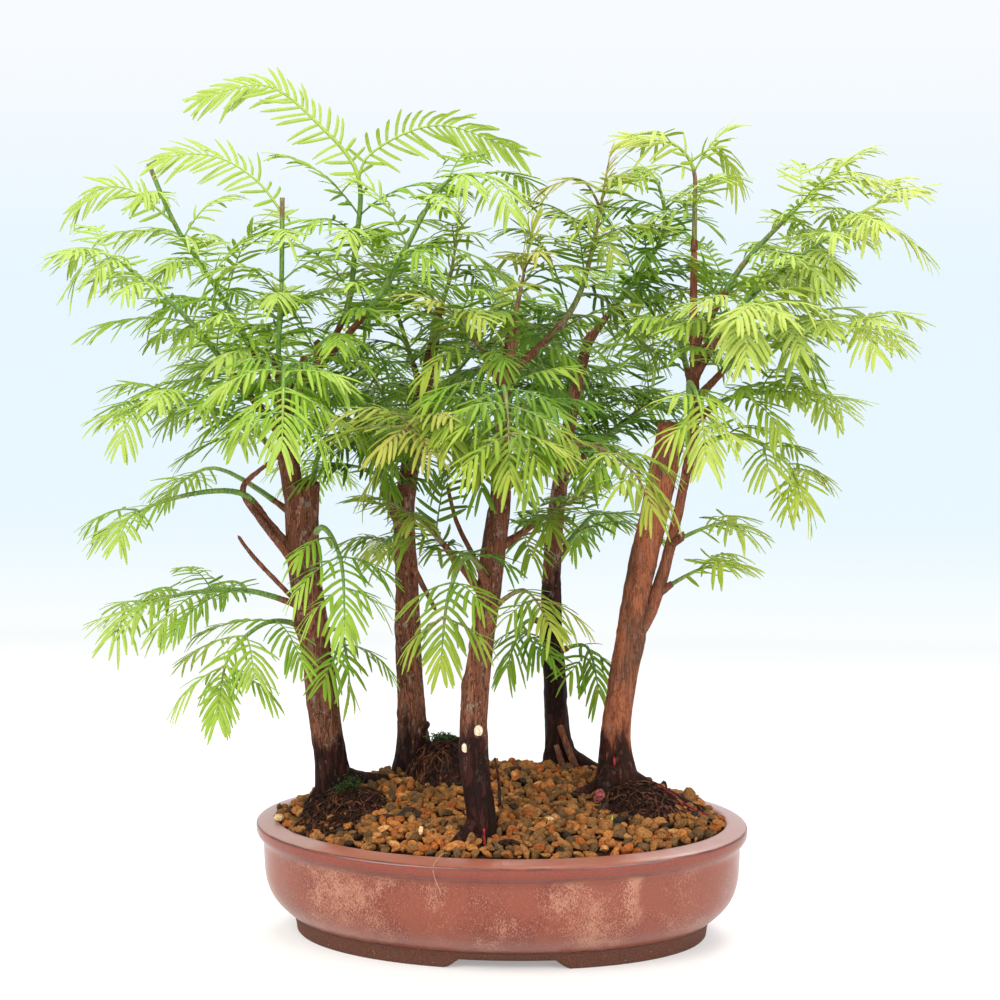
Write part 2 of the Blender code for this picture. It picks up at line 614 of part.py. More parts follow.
def meets(piece, obstacles):
    """Whether the mesh touches one of the obstacles."""
    found = tree_of([piece])
    return any(obstacle.overlap(found) for obstacle in obstacles)


def spine_of(shoot):
    """The stations of a shoot's green stem, from just past its wood to its tip, and the first leafy one."""
    run = shoot["run"]
    start = shoot["wood"] + GAP
    leafy = max(run.length - TIP_LEAFY, start + PITCH)
    bare = max(1, round((leafy - start) / STEM_STEP))
    fine = max(2, round((run.length - leafy) / PITCH))
    reach = [start + (leafy - start) * i / bare for i in range(bare)]
    reach += [leafy + (run.length - leafy) * i / fine for i in range(fine + 1)]
    radii = [STEM - (STEM - RIB_TIP) * (along - start) / (run.length - start) for along in reach]
    return stations_on([run.at(along)[0].xyz for along in reach], radii, run.at(shoot["wood"])[1]), bare


def rib_of(points, first_way):
    """The stations of a leafy rib that thins from its root to its tip."""
    last = len(points) - 1
    return stations_on(points, [RIB - (RIB - RIB_TIP) * i / last for i in range(len(points))], first_way)


def fork_rib(fork):
    """The rib of a fork, which is leafy all along."""
    count = max(3, round(fork.length / PITCH))
    return rib_of([fork.at(fork.length * i / count)[0] for i in range(count + 1)], fork.at(0)[1])


def widened(stations):
    """The stations with the clearance added that other pieces keep from them."""
    return [{**station, "half": station["half"] + CLEAR} for station in stations]


def kept_tips(stations, first, longest, obstacles):
    """The leaflets of a rib that stay clear of the obstacles."""
    wide = widened(stations)
    grown = leaflet_tips(wide, first, longest, CLEAR)
    kept = {}
    for (i, hand), tip in leaflet_tips(stations, first, longest).items():
        corners = rib_corners(wide[i]) + rib_corners(wide[i + 1])
        base = (0, 2, 5, 3) if hand < 0 else (1, 4, 5, 2)
        spike = (corners + [grown[i, hand]], [(base[k], base[(k + 1) % 4], 6) for k in range(4)])
        if not meets(spike, obstacles):
            kept[i, hand] = tip
    return kept


def spine_meshes(shoot):
    """The bare ribs of a shoot and its forks, widened, which the other shoots' leaflets keep clear of."""
    ribs = [spine_of(shoot)[0]] + [fork_rib(fork) for fork in shoot["forks"]]
    return [rib_mesh(widened(rib), {}) for rib in ribs]


def side_fronds(shoot, stem, obstacles):
    """A shoot's side fronds, on alternate hands first, as many as its green length calls for."""
    plan = frond_plan(shoot)
    plan = [frond for k, frond in enumerate(plan) if k % 4 in (0, 3)] + [
        frond for k, frond in enumerate(plan) if k % 4 in (1, 2)]
    wanted = max(1, round((shoot["run"].length - shoot["wood"]) / GREEN_PER_FROND))
    fronds = []
    for frond in plan:
        if len(fronds) == wanted or frond["along"] < shoot["wood"] + 3:
            continue
        rib = rib_of(frond_line(frond, PITCH), frond["way"])
        around = obstacles + [tree_of(stem + fronds)]
        if meets(rib_mesh(widened(rib[1:]), {}), around):
            continue
        leaflets = kept_tips(rib, 1, frond["leaflet"], around)
        if len(leaflets) > LEAST_LEAFY * (len(rib) - 2):
            fronds.append(rib_mesh(rib, leaflets))
    return fronds


def make_shoot(shoot, trunk, shade, obstacles):
    """One leafy shoot: its green stem, the leafy tip, its forks and its side fronds, clear of all others."""
    stations, first = spine_of(shoot)
    own = [rib_mesh(stations, kept_tips(stations, first, LEAFLET, obstacles))]
    for fork in shoot["forks"]:
        rib = fork_rib(fork)
        own.append(rib_mesh(rib, kept_tips(rib, 1, LEAFLET, obstacles + [tree_of(own)])))
    own += side_fronds(shoot, own, obstacles)
    obj = add_object(shoot["name"], *own[0], shade)
    obj.parent = trunk
    if len(own) > 1:
        combine(obj, own[1:], "UNION", "MANIFOLD")
    return own


def mesh_of(obj):
    """An object's own mesh as points in millimetres and faces."""
    points = [vertex.co / MM for vertex in obj.data.vertices]
    return points, [tuple(polygon.vertices) for polygon in obj.data.polygons]


def main():
    clear_scene()
    trees = {name: plan_tree(name, tree) for name, tree in TREES.items()}
    pot = make_pot()
    soil = make_soil(trees.values())
    soil.parent = pot
    for side, x in zip(("left", "right"), drain_places()):
        make_drain_mesh("drain_mesh_" + side, x, pot)
    bark = material("bark", (0.27, 0.13, 0.08), 0.85)
    trunks = {name: make_wood(name, tree, bark) for name, tree in trees.items()}
    solid = tree_of([mesh_of(piece) for piece in (pot, soil, *trunks.values())])
    spines = {shoot["name"]: spine_meshes(shoot) for tree in trees.values() for shoot in tree["shoots"]}
    made = []
    for name, tree in trees.items():
        shade = material("leaf_" + name, LEAF_COLOURS[name], 0.5)
        for shoot in tree["shoots"]:
            del spines[shoot["name"]]
            waiting = [tree_of(pieces) for pieces in spines.values()]
            own = make_shoot(shoot, trunks[name], shade, [solid, *waiting, *made])
            made.append(tree_of(own))


main()
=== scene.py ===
import math
import random
from functools import cache

import bmesh
import bpy
import numpy as np
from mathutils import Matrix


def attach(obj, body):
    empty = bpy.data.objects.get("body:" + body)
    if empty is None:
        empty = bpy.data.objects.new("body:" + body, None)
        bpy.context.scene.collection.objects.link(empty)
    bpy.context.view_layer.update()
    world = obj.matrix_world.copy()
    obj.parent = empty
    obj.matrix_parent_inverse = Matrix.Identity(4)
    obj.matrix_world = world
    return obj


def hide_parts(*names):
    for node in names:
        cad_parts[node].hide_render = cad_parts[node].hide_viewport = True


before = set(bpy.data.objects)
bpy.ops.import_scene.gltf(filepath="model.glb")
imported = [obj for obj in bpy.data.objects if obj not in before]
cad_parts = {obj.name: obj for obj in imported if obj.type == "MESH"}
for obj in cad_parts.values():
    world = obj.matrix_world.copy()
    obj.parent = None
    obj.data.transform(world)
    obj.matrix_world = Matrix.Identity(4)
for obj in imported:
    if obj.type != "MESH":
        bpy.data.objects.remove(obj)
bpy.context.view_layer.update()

mm = 0.001
turn = 2 * math.pi
upward = np.array([0.0, 0.0, 1.0])


# Camera, at the photograph's height and angle. Sizes and places in this script are in millimetres.
cameraSet = {"place": (81.45, -1113.3, 400.0), "down": 9.0, "aside": 4.0, "lens": 81.7}


def makeCamera(settings):
    data = bpy.data.cameras.new("camera")
    data.lens, data.sensor_width = settings["lens"], 36
    data.clip_start, data.clip_end = 0.05, 30
    camera = bpy.data.objects.new("camera", data)
    camera.location = [value * mm for value in settings["place"]]
    camera.rotation_euler = (math.radians(90 - settings["down"]), 0, math.radians(settings["aside"]))
    bpy.context.scene.collection.objects.link(camera)
    bpy.context.scene.camera = camera


# Shader maths: a Wire is a socket that takes part in plain expressions, and a Maker builds one material.
class Wire:
    def __init__(self, maker, socket):
        self.maker, self.socket = maker, socket

    def maths(self, operation, other=None, swapped=False, clamp=False):
        values = [self] if other is None else [other, self] if swapped else [self, other]
        return self.maker.node("ShaderNodeMath", {"operation": operation, "use_clamp": clamp}, values)

    def __add__(self, other):
        return self.maths("ADD", other)

    def __sub__(self, other):
        return self.maths("SUBTRACT", other)

    def __rsub__(self, other):
        return self.maths("SUBTRACT", other, True)

    def __mul__(self, other):
        return self.maths("MULTIPLY", other)

    def __truediv__(self, other):
        return self.maths("DIVIDE", other)

    def __rtruediv__(self, other):
        return self.maths("DIVIDE", other, True)

    __radd__, __rmul__ = __add__, __mul__

    def __abs__(self):
        return self.maths("ABSOLUTE")

    def clamp(self):
        return self.maths("ADD", 0.0, clamp=True)

    def band(self, low, high):
        # 0 below low, 1 above high and a smooth step between them; low over high turns it round
        settings = {"interpolation_type": "SMOOTHSTEP", "clamp": True}
        ends = (low, high, 0, 1) if low < high else (high, low, 1, 0)
        return self.maker.node("ShaderNodeMapRange", settings, [self, *ends])


class Maker:
    def __init__(self, name):
        self.material = bpy.data.materials.new(name)
        self.material.use_nodes = True
        self.tree = self.material.node_tree
        self.tree.nodes.clear()

    def node(self, kind, settings=None, values=(), output=0):
        made = self.tree.nodes.new(kind)
        for key, value in (settings or {}).items():
            if key == "stops":
                self.setStops(made.color_ramp, value)
            else:
                setattr(made, key, value)
        for key, value in (values.items() if isinstance(values, dict) else enumerate(values)):
            if isinstance(value, Wire):
                self.tree.links.new(value.socket, made.inputs[key])
            else:
                made.inputs[key].default_value = value
        return Wire(self, made.outputs[output])

    def setStops(self, ramp, stops):
        while len(ramp.elements) < len(stops):
            ramp.elements.new(1)
        for element, (place, colour) in zip(ramp.elements, stops):
            element.position, element.color = place, (*colour, 1)

    def place(self, stretch=(1, 1, 1)):
        # Object coordinates in millimetres, times a factor along each axis
        spot = self.node("ShaderNodeTexCoord", output="Object")
        scale = [value / mm for value in stretch]
        return self.node("ShaderNodeMapping", {}, {"Vector": spot, "Scale": scale})

    def noise(self, scale=1.0, stretch=(1, 1, 1), detail=3.0, rough=0.55, warp=0.0):
        # fractal noise, from about 0.3 to 0.7, with a pattern about 1 / scale millimetres wide
        values = {"Vector": self.place(stretch), "Scale": scale, "Detail": detail, "Roughness": rough,
                  "Distortion": warp}
        return self.node("ShaderNodeTexNoise", {}, values)

    def cells(self, scale):
        # how far the nearest of many scattered points is; they lie about 1 / scale millimetres apart
        return self.node("ShaderNodeTexVoronoi", {}, {"Vector": self.place(), "Scale": scale}, "Distance")

    def ramp(self, factor, stops):
        return self.node("ShaderNodeValToRGB", {"stops": stops}, [factor])

    def shades(self, factor, colours):
        # four colours, from the darkest to the lightest
        return self.ramp(factor, list(zip((0, 0.35, 0.7, 1), colours)))

    def blend(self, factor, first, second, kind="MIX"):
        first, second = ((*c, 1) if isinstance(c, tuple) and len(c) == 3 else c for c in (first, second))
        return self.node("ShaderNodeMix", {"data_type": "RGBA", "blend_type": kind},
                         {0: factor, 6: first, 7: second}, 2)

    def split(self, kind, whole):
        return [self.node(kind, {}, [whole], output) for output in range(3)]

    def axes(self):
        # the three Object coordinates in millimetres
        return self.split("ShaderNodeSeparateXYZ", self.place())

    def bump(self, height, distance, strength=1.0):
        return self.node("ShaderNodeBump", {}, {"Height": height, "Distance": distance * mm,
                                                "Strength": strength})

    def tint(self, output="Color"):
        # the tint stored at each point of a piece
        return self.node("ShaderNodeAttribute", {"attribute_name": "tint"}, output=output)

    def channels(self):
        return self.split("ShaderNodeSeparateColor", self.tint())

    def principled(self, **values):
        values = {key.replace("_", " "): value for key, value in values.items()}
        return self.node("ShaderNodeBsdfPrincipled", {}, values)

    def finish(self, shader):
        out = self.tree.nodes.new("ShaderNodeOutputMaterial")
        self.tree.links.new(shader.socket, out.inputs["Surface"])
        return self.material

    def surface(self, **values):
        return self.finish(self.principled(**values))


# Geometry helpers
def unit(vectors):
    return vectors / np.maximum(np.linalg.norm(vectors, axis=-1, keepdims=True), 1e-9)


def titled(name):
    # back_left as BackLeft
    return "".join(part.title() for part in name.split("_"))


def drawFor(name):
    # the numbers drawn for one piece, always the same for the same name
    return np.random.default_rng(list(name.encode()))


def valueNoise(points, seed=0):
    # a hashed number at each corner of the unit cell, blended by smooth steps, from -1 to 1
    cell = np.floor(points).astype(np.int64)
    part = points - cell
    part = part * part * (3 - 2 * part)
    total = np.zeros(points.shape[:-1])
    for corner in np.ndindex(2, 2, 2):
        at = cell + corner
        key = at[..., 0] * 73856093 ^ at[..., 1] * 19349663 ^ at[..., 2] * 83492791 ^ seed * 97
        key = (key ^ key >> 13) * 1274126177 & 0x7FFFFFFF
        share = np.prod(np.where(corner, part, 1 - part), axis=-1)
        total += ((key ^ key >> 15) & 0xFFFF) / 32767.5 * share - share
    return total


def layeredNoise(points, octaves=3, seed=0):
    # each layer is twice as fine and half as strong as the last
    return sum(valueNoise(points * 2 ** layer, seed + layer) / 2 ** layer for layer in range(octaves)) / 1.6


def smoothStep(values, low, high):
    share = np.clip((values - low) / (high - low), 0, 1)
    return share * share * (3 - 2 * share)


class Shape:
    # gathers surfaces into one mesh, in millimetres, with a tint for each point and a finish for each face
    def __init__(self):
        self.points, self.quads, self.tris, self.tints = [], [], [], []
        self.quadFinish, self.triFinish = [], []
        self.count = 0

    def add(self, points, quads, tris, tint, finish=0):
        # points (copies, n, 3) share one list of faces; tint is one colour or one for each point
        copies, size = points.shape[:2]
        start = self.count + size * np.arange(copies)[:, None, None]
        self.points.append(points.reshape(-1, 3))
        self.tints.append(np.broadcast_to(tint, (copies, size, 4)).reshape(-1, 4))
        kinds = (quads, self.quads, self.quadFinish), (tris, self.tris, self.triFinish)
        for faces, kept, finishes in kinds:
            if len(faces):
                kept.append((np.asarray(faces)[None] + start).reshape(-1, np.shape(faces)[1]))
                finishes.append(np.full(len(faces) * copies, finish))
        self.count += copies * size

    def build(self, name, materials, smooth=(0, 1)):
        # the finishes named in smooth are shaded smooth, the others facet by facet
        quads = np.concatenate(self.quads or [np.zeros((0, 4), int)])
        tris = np.concatenate(self.tris or [np.zeros((0, 3), int)])
        sizes = np.concatenate([np.full(len(quads), 4), np.full(len(tris), 3)])
        corners = np.concatenate([quads.ravel(), tris.ravel()])
        mesh = bpy.data.meshes.new(name)
        mesh.vertices.add(self.count)
        mesh.vertices.foreach_set("co", (np.concatenate(self.points) * mm).astype(np.float32).ravel())
        mesh.loops.add(len(corners))
        mesh.loops.foreach_set("vertex_index", corners.astype(np.int32))
        mesh.polygons.add(len(sizes))
        mesh.polygons.foreach_set("loop_start", (np.cumsum(sizes) - sizes).astype(np.int32))
        finishes = np.concatenate(self.quadFinish + self.triFinish)
        mesh.polygons.foreach_set("material_index", finishes.astype(np.int32))
        mesh.polygons.foreach_set("use_smooth", np.isin(finishes, smooth))
        for material in materials:
            mesh.materials.append(material)
        tint = mesh.attributes.new("tint", "FLOAT_COLOR", "POINT")
        tint.data.foreach_set("color", np.concatenate(self.tints).astype(np.float32).ravel())
        mesh.update(calc_edges=True)
        mesh.validate()
        piece = bpy.data.objects.new(name, mesh)
        bpy.context.scene.collection.objects.link(piece)
        return piece


def gridQuads(rows, columns, wrap=True):
    # quads between neighbouring rows of a grid whose points run along each row in turn
    across = columns if wrap else columns - 1
    row, column = np.meshgrid(np.arange(rows - 1), np.arange(across), indexing="ij")
    here, after = row * columns + column, row * columns + (column + 1) % columns
    return np.stack([here, after, after + columns, here + columns], -1).reshape(-1, 4)


def tubeRings(paths, radii, sides, swell=1.0):
    # rings square to each path: centre + radius (cos a across + sin a other), for paths (copies, n, 3)
    way = unit(np.gradient(paths, axis=1))
    least = np.abs(way).mean(axis=1).argmin(axis=-1)
    across = unit(np.cross(np.eye(3)[least][:, None], way))
    other = np.cross(way, across)
    angle = turn * np.arange(sides) / sides
    ring = np.cos(angle)[:, None] * across[:, :, None] + np.sin(angle)[:, None] * other[:, :, None]
    return paths[:, :, None] + ring * (radii[..., None] * swell)[..., None]


def closedRings(rows, sides, fromTop=False):
    # the quads of a stack of rings and the fans that close it, whose two middle points follow the rings; the
    # faces are turned round where the rings run from the top down
    k = np.arange(sides)
    after, last, middle = (k + 1) % sides, (rows - 1) * sides, rows * sides
    start = np.stack([np.full(sides, middle), after, k], -1)
    end = np.stack([np.full(sides, middle + 1), last + k, last + after], -1)
    quads, tris = gridQuads(rows, sides), np.concatenate([start, end])
    return (quads[:, ::-1], tris[:, ::-1]) if fromTop else (quads, tris)


def addOval(shape, rings, ends, tint):
    # one solid of rings (rows, sides, 3) that run from the middle of its top out and round to the middle of
    # its underside, closed at those two points
    points = np.concatenate([rings.reshape(-1, 3), ends])[None]
    shape.add(points, *closedRings(*rings.shape[:2], True), tint)


def addTubes(shape, rings, tint, finish=0, cut=False):
    # tubes (copies, rows, sides, 3), each closed by fans; the tint is one colour, or one for each ring or
    # point, and its third value is 1 at the ends of a cut tube
    copies, rows, sides = rings.shape[:3]
    middles = np.stack([rings[:, 0].mean(1), rings[:, -1].mean(1)], 1)
    points = np.concatenate([rings.reshape(copies, -1, 3), middles], 1)
    tint = np.asarray(tint, float)
    if tint.ndim > 1:
        tint = np.broadcast_to(tint if tint.ndim == 4 else tint[:, :, None], (copies, rows, sides, 4))
        ends = tint[:, [0, -1], 0].copy()
        if cut:
            ends[..., 2] = 1
        tint = np.concatenate([tint.reshape(copies, -1, 4), ends], 1)
    shape.add(points, *closedRings(rows, sides), tint, finish)


class Line:
    # a smooth curve through knots (x, y, z and maybe a radius), cut into even steps between each two knots and
    # read by its length from the start
    def __init__(self, knots, steps=6):
        row = np.array(knots, float)
        row = np.vstack([row[:1], row, row[-1:]])
        before, start, end, after = (row[k:len(row) - 3 + k, None] for k in range(4))
        t = (np.arange(steps) / steps)[None, :, None]
        bend, twist = 2 * before - 5 * start + 4 * end - after, 3 * start - before - 3 * end + after
        curve = 0.5 * (2 * start + (end - before) * t + bend * t ** 2 + twist * t ** 3)
        self.points = np.vstack([curve.reshape(-1, row.shape[1]), row[-1:]])
        gaps = np.diff(self.points[:, :3], axis=0)
        self.ways = unit(gaps)
        self.reach = np.concatenate([[0], np.cumsum(np.linalg.norm(gaps, axis=1))])
        self.length = self.reach[-1]

    def at(self, along):
        # the point (and radius) and the direction at this length, or at each of these lengths
        spots = np.stack([np.interp(along, self.reach, column) for column in self.points.T], -1)
        index = np.clip(np.searchsorted(self.reach, along) - 1, 0, len(self.ways) - 1)
        return spots, self.ways[index]

    def atHeight(self, z):
        index = next((i for i, point in enumerate(self.points) if point[2] >= z), len(self.points) - 1)
        start, end = self.points[max(index - 1, 0)], self.points[index]
        rise = end[2] - start[2]
        return start + (end - start) * ((z - start[2]) / rise if rise else 0)


# Tray: the glazed oval, its rolled lip and its bare clay foot. Profile points are (inset from the rim,
# height), and each cream flow down the wall is (x, half width, strength).
traySet = {
    "middle": 4, "half": (125, 78), "around": 320, "fine": 5,
    "inside": [(31, 12), (27, 13.4), (24, 19), (18.5, 34), (12.9, 48)],
    "lip": [(12.1, 53), (11.5, 57.2), (10.9, 59), (9.4, 59.8), (7, 59.6), (4, 59), (1.8, 58.4), (0.6, 57.8),
            (0.05, 56.8), (0, 54.8), (0.25, 53.2), (1.1, 51.4), (2.4, 49.9), (3.4, 48.2)],
    "wall": [(3.6, 46), (3.6, 43.6), (3.8, 37.5), (4.3, 30.7), (6, 23.9), (9, 18.4), (13.2, 13.7),
             (17.6, 9.8)],
    "foot": [(18.6, 9.2), (18.9, 8.3), (19.7, 4.2), (20.1, 1), (20.9, 0), (25, 0), (30.2, 0), (31, 0.8),
             (31.6, 4), (32.4, 6.4), (34, 7)],
    "arch": {"middle": 11, "halfWidth": 30, "halfTop": 23.5, "height": 5},
    "drain": {"out": 48, "radius": 6, "heights": (5.0, 14.0), "sides": 32},
    "rim": {"from": 30, "to": 50, "waver": 0.35}, "nick": {"at": (82, -66), "half": (2.2, 6), "deep": 0.5},
    "glaze": {"rose": (0.235, 0.047, 0.023), "brick": (0.17, 0.021, 0.0095), "cream": (0.53, 0.25, 0.155),
              "lilacSheen": (0.39, 0.22, 0.19), "line": (0.06, 0.042, 0.046), "tan": (0.33, 0.115, 0.055),
              "edge": (0.27, 0.06, 0.034), "top": (0.33, 0.105, 0.068)},
    "clay": {"light": (0.16, 0.05, 0.024), "dark": (0.066, 0.021, 0.011), "fleck": (0.5, 0.32, 0.22),
             "seam": (0.022, 0.014, 0.012)},
    "mesh": ((0.012, 0.012, 0.013), (0.03, 0.03, 0.032)),
    "flows": [(-72, 26, 0.1), (-22, 13, 0.08), (50, 24, 0.12), (98, 14, 0.07)],
}


def archLift(x, settings):
    # how far the foot's underside is lifted: a trapezoid over the arch, at the front and at the back
    arch = settings["arch"]
    slope = arch["height"] / (arch["halfWidth"] - arch["halfTop"])
    return np.clip((arch["halfWidth"] - np.abs(x - arch["middle"])) * slope, 0, arch["height"])


def trayProfile(settings):
    # the inside, lip, wall and foot as one smooth row of (inset, height)
    parts = [Line([(*spot, 0) for spot in settings[key]], settings["fine"]) for key in ("lip", "wall")]
    lip, wall = (part.points[:, :2] for part in parts)
    return np.vstack([settings["inside"], lip, wall, settings["foot"]])


def makeTray(settings):
    # each profile point is carried round the oval at its inset; the rim wavers a little and has one nick
    profile = trayProfile(settings)
    angle = turn * np.arange(settings["around"]) / settings["around"]
    inset, height = profile[:, :1], profile[:, 1:]
    x = settings["middle"] + (settings["half"][0] - inset) * np.cos(angle)
    y = (settings["half"][1] - inset) * np.sin(angle)
    rim, nick = settings["rim"], settings["nick"]
    raised = smoothStep(height, rim["from"], rim["to"])
    waver = layeredNoise(np.stack([np.cos(angle) * 2.2, np.sin(angle) * 2.2, angle * 0], -1), 2)
    z = height + raised * rim["waver"] * waver[None]
    aside, back = ((place - at) / half for place, at, half in zip((x, y), nick["at"], nick["half"]))
    z = z - nick["deep"] * np.exp(-aside ** 2 - back ** 2) * raised
    underside = height < settings["arch"]["height"] + 0.1
    z = np.maximum(z, np.where(underside, archLift(x, settings), 0))
    middle = settings["middle"]
    ends = [(middle, 0, profile[0, 1]), (middle, 0, profile[-1, 1])]
    shape = Shape()
    addOval(shape, np.stack([x, y, z], -1), ends, (1, 1, 1, 1))
    tray = shape.build("tray", [glazeFinish(settings)])
    cutDrains(tray, settings)
    return tray


def cutDrains(tray, settings):
    # two round holes through the floor
    cutter = Shape()
    drain = settings["drain"]
    for side in (-1, 1):
        x = settings["middle"] + side * drain["out"]
        path = np.array([[[x, 0, height] for height in drain["heights"]]])
        addTubes(cutter, tubeRings(path, np.full((1, 2), drain["radius"]), drain["sides"]), (1, 1, 1, 1))
    holes = cutter.build("drainCutter", [])
    boolean = tray.modifiers.new("drains", "BOOLEAN")
    boolean.operation, boolean.object, boolean.solver = "DIFFERENCE", holes, "EXACT"
    graph = bpy.context.evaluated_depsgraph_get()
    cut = bpy.data.meshes.new_from_object(tray.evaluated_get(graph))
    tray.modifiers.clear()
    tray.data = cut
    bpy.data.objects.remove(holes, do_unlink=True)


def glazeFinish(settings):
    # rosy glaze with clouds of brick red, flecked with cream where it ran thick, and a painted lilac sheen of
    # reflected light on the wall at the oval's two ends; the lip's top is rose brown, turning to the same
    # painted sheen at its ends and along the back, its edge brick red between two thin dark lines, and the
    # foot is bare clay
    colour, clay = settings["glaze"], settings["clay"]
    make = Maker("rosyGlaze")
    x, y, z = make.axes()
    patches = make.noise(0.05, (1, 1, 0.8), 3, 0.6)
    cloud = make.noise(0.05, (1, 1, 0.8), 3, 0.55)
    speckle = make.noise(1.5, (1, 1, 0.5), 2, 0.7)
    fine = make.noise(3.6, (1, 1, 0.8), 2, 0.6)
    flow = (patches - 0.45) * 0.6
    bent = x + (make.noise(0.09, (1, 1, 1), 3, 0.6) - 0.5) * 42
    for middle, wide, strength in settings["flows"]:
        flow = flow + abs(bent - middle).band(wide, wide * 0.1) * strength
    streak = abs(x + (speckle - 0.5) * 18 + (bent - x) * 0.12 - 73).band(6.5, 1)
    streak = streak * z.band(20, 36)
    flow = flow + streak * (y * -1).band(0, 20) * 0.2
    cream = (speckle * 0.5 + fine * 0.6 + flow).band(0.61, 0.81)
    base = make.blend(cloud.band(0.42, 0.6), colour["rose"], colour["brick"])
    base = make.blend((fine * 0.5 + speckle * 0.5).band(0.46, 0.62) * 0.3, base, colour["tan"])
    body = z.band(52.5, 48) * z.band(7, 14)
    base = make.blend(cream * body * 0.78, base, colour["cream"])
    # painted sheen: lilac reflected light on the wall at the oval's two ends, where the wall turns away
    paintedSheen = abs(x - settings["middle"]).band(88, 122) * body
    base = make.blend(paintedSheen * 0.24 * patches.band(0.4, 0.6), base, colour["lilacSheen"])
    band = make.blend(fine.band(0.4, 0.6), colour["brick"], colour["edge"])
    base = make.blend(z.band(51.6, 52.8) * 0.85, base, band)
    waver = (make.noise(0.12, (1, 1, 1), 2) - 0.5) * 1.4
    # painted sheen: the lip's top turns lilac with reflected light at the oval's ends and along the back
    ends = (abs(x - settings["middle"]) + (patches - 0.5) * 60).band(66, 104)
    top = make.blend((ends + y.band(0, 30)).clamp(), colour["top"], colour["lilacSheen"])
    base = make.blend((z + waver * 0.4).band(57.5, 58.1), base, top)
    edgeTop = abs(z + waver * 0.4 - 57.45).band(0.6, 0.15)
    edgeLow = abs(z + waver * 0.5 - 51.9).band(0.8, 0.2)
    worn = make.noise(0.09, (1, 1, 1), 2).band(0.4, 0.54)
    base = make.blend((edgeTop * (0.35 + 0.65 * worn) + edgeLow * 0.5).clamp() * 0.8, base, colour["line"])
    pits = make.cells(0.32).band(0.1, 0.04) * make.noise(0.2).band(0.5, 0.6)
    base = make.blend(pits * 0.7, base, colour["line"])
    grain = make.noise(1.6, (1, 1, 1), 4, 0.7)
    clayColour = make.blend(grain.band(0.38, 0.64), clay["dark"], clay["light"])
    flecks = make.cells(0.22).band(0.09, 0.05)
    clayColour = make.blend(flecks * 0.6, clayColour, clay["fleck"])
    drip = z + (make.noise(0.25) - 0.5) * 2.4
    bare = drip.band(9.7, 9.1)
    seam = abs(drip - 9.4).band(0.9, 0.1)
    base = make.blend(bare, base, clayColour)
    surface = make.blend(seam * grain.band(0.4, 0.56) * 0.85, base, clay["seam"])
    height = speckle * 0.25 + fine * 0.12 - pits * 0.6
    normal = make.bump(height * (1 - bare) + grain * bare * 2.2, 0.22, 0.5)
    rough = 0.24 + cream * body * 0.14 + fine * 0.1 + bare * 0.55
    return make.surface(Base_Color=surface, Roughness=rough.clamp(), Normal=normal,
                        Coat_Weight=(1 - bare) * 0.14, Coat_Roughness=0.08)


# Soil: a bed painted near black, as the shade in the gaps between the stones, with single stones of grit on
# it, over the whole mound. A pale stone is (place, half size), and a stone's colour comes with how common it
# is.
# "large" is the share of larger stones and their factor.
soilSet = {
    "edge": 57.5, "inset": 11.8, "floor": 12.35, "wallGap": 0.4, "mound": 13.5, "tilt": 0.12, "power": 6,
    "bedRings": 46, "bedAround": 128, "bedDrop": 1.3, "bedRough": 0.7, "bedShadeColour": (0.022, 0.009, 0.004, 1),
    "stoneStep": 4.7, "stoneSize": (2.55, 3.7), "jitter": 1.1, "large": (0.08, 1.3), "stoneLift": (-0.5, 1.0),
    "chipCount": 1000, "chipSize": (0.8, 1.45), "chipLift": (-0.3, 1.2), "spill": 0.035, "spillLift": 3.6,
    "cuts": 7, "cutAt": (0.52, 0.88), "stretch": ((1.0, 0.7, 0.5), (1.5, 0.95, 0.8)), "margin": 1.9,
    "clear": {"stones": 0.86, "chips": 0.9}, "paleSharp": 0.85, "paleColour": (0.75, 0.55, 0.3, 1),
    "shadow": (0.58, 0.47, 0.38), "dust": (0.62, 0.42, 0.22),
    "paleStones": [((-103.5, -9, 57.3), 3.2), ((-30, -48, 63), 2.2), ((33, -33, 64), 2.0)],
    "stoneColours": [((0.4, 0.155, 0.042), 5), ((0.38, 0.112, 0.025), 2.4), ((0.33, 0.145, 0.045), 5),
                     ((0.2, 0.1, 0.034), 5), ((0.13, 0.075, 0.034), 2.6), ((0.035, 0.025, 0.019), 1.2),
                     ((0.55, 0.26, 0.09), 1.2)],
}


def soilHeight(x, y):
    # the mound: level with the rim's inside at the edge, and higher to the back
    half = traySet["half"]
    inset = soilSet["inset"]
    outward = np.hypot((x - traySet["middle"]) / (half[0] - inset), y / (half[1] - inset))
    rise = soilSet["mound"] + soilSet["tilt"] * np.asarray(y)
    return soilSet["edge"] + rise * (1 - np.minimum(outward, 1) ** soilSet["power"])


def makeBed(settings):
    # rings that go out over the mound, then down inside the tray's wall to its floor
    half, middle = np.array(traySet["half"]), traySet["middle"]
    angle = turn * np.arange(settings["bedAround"]) / settings["bedAround"]
    share = np.linspace(1, 0.03, settings["bedRings"])[::-1, None]
    size = half - settings["inset"] - settings["wallGap"]
    x, y = middle + share * size[0] * np.cos(angle), share * size[1] * np.sin(angle)
    z = soilHeight(x, y) - settings["bedDrop"]
    z = z + settings["bedRough"] * layeredNoise(np.stack([x, y, z], -1) / 3.5, 2)
    rings = [np.stack([x, y, z], -1)]
    for inset, height in reversed(traySet["inside"]):
        # a millimetre clear of the wall
        size = half - inset - 1
        flat = np.full(len(angle), max(height, settings["floor"]))
        rings.append(np.stack([middle + size[0] * np.cos(angle), size[1] * np.sin(angle), flat], -1)[None])
    rings = np.concatenate(rings)
    shape = Shape()
    # the bed's near-black colour is painted shade, seen in the gaps between the stones
    addOval(shape, rings, [(middle, 0, rings[0, :, 2].mean()), (middle, 0, settings["floor"])],
            settings["bedShadeColour"])
    return shape.build("soilBed", [gritFinish()])


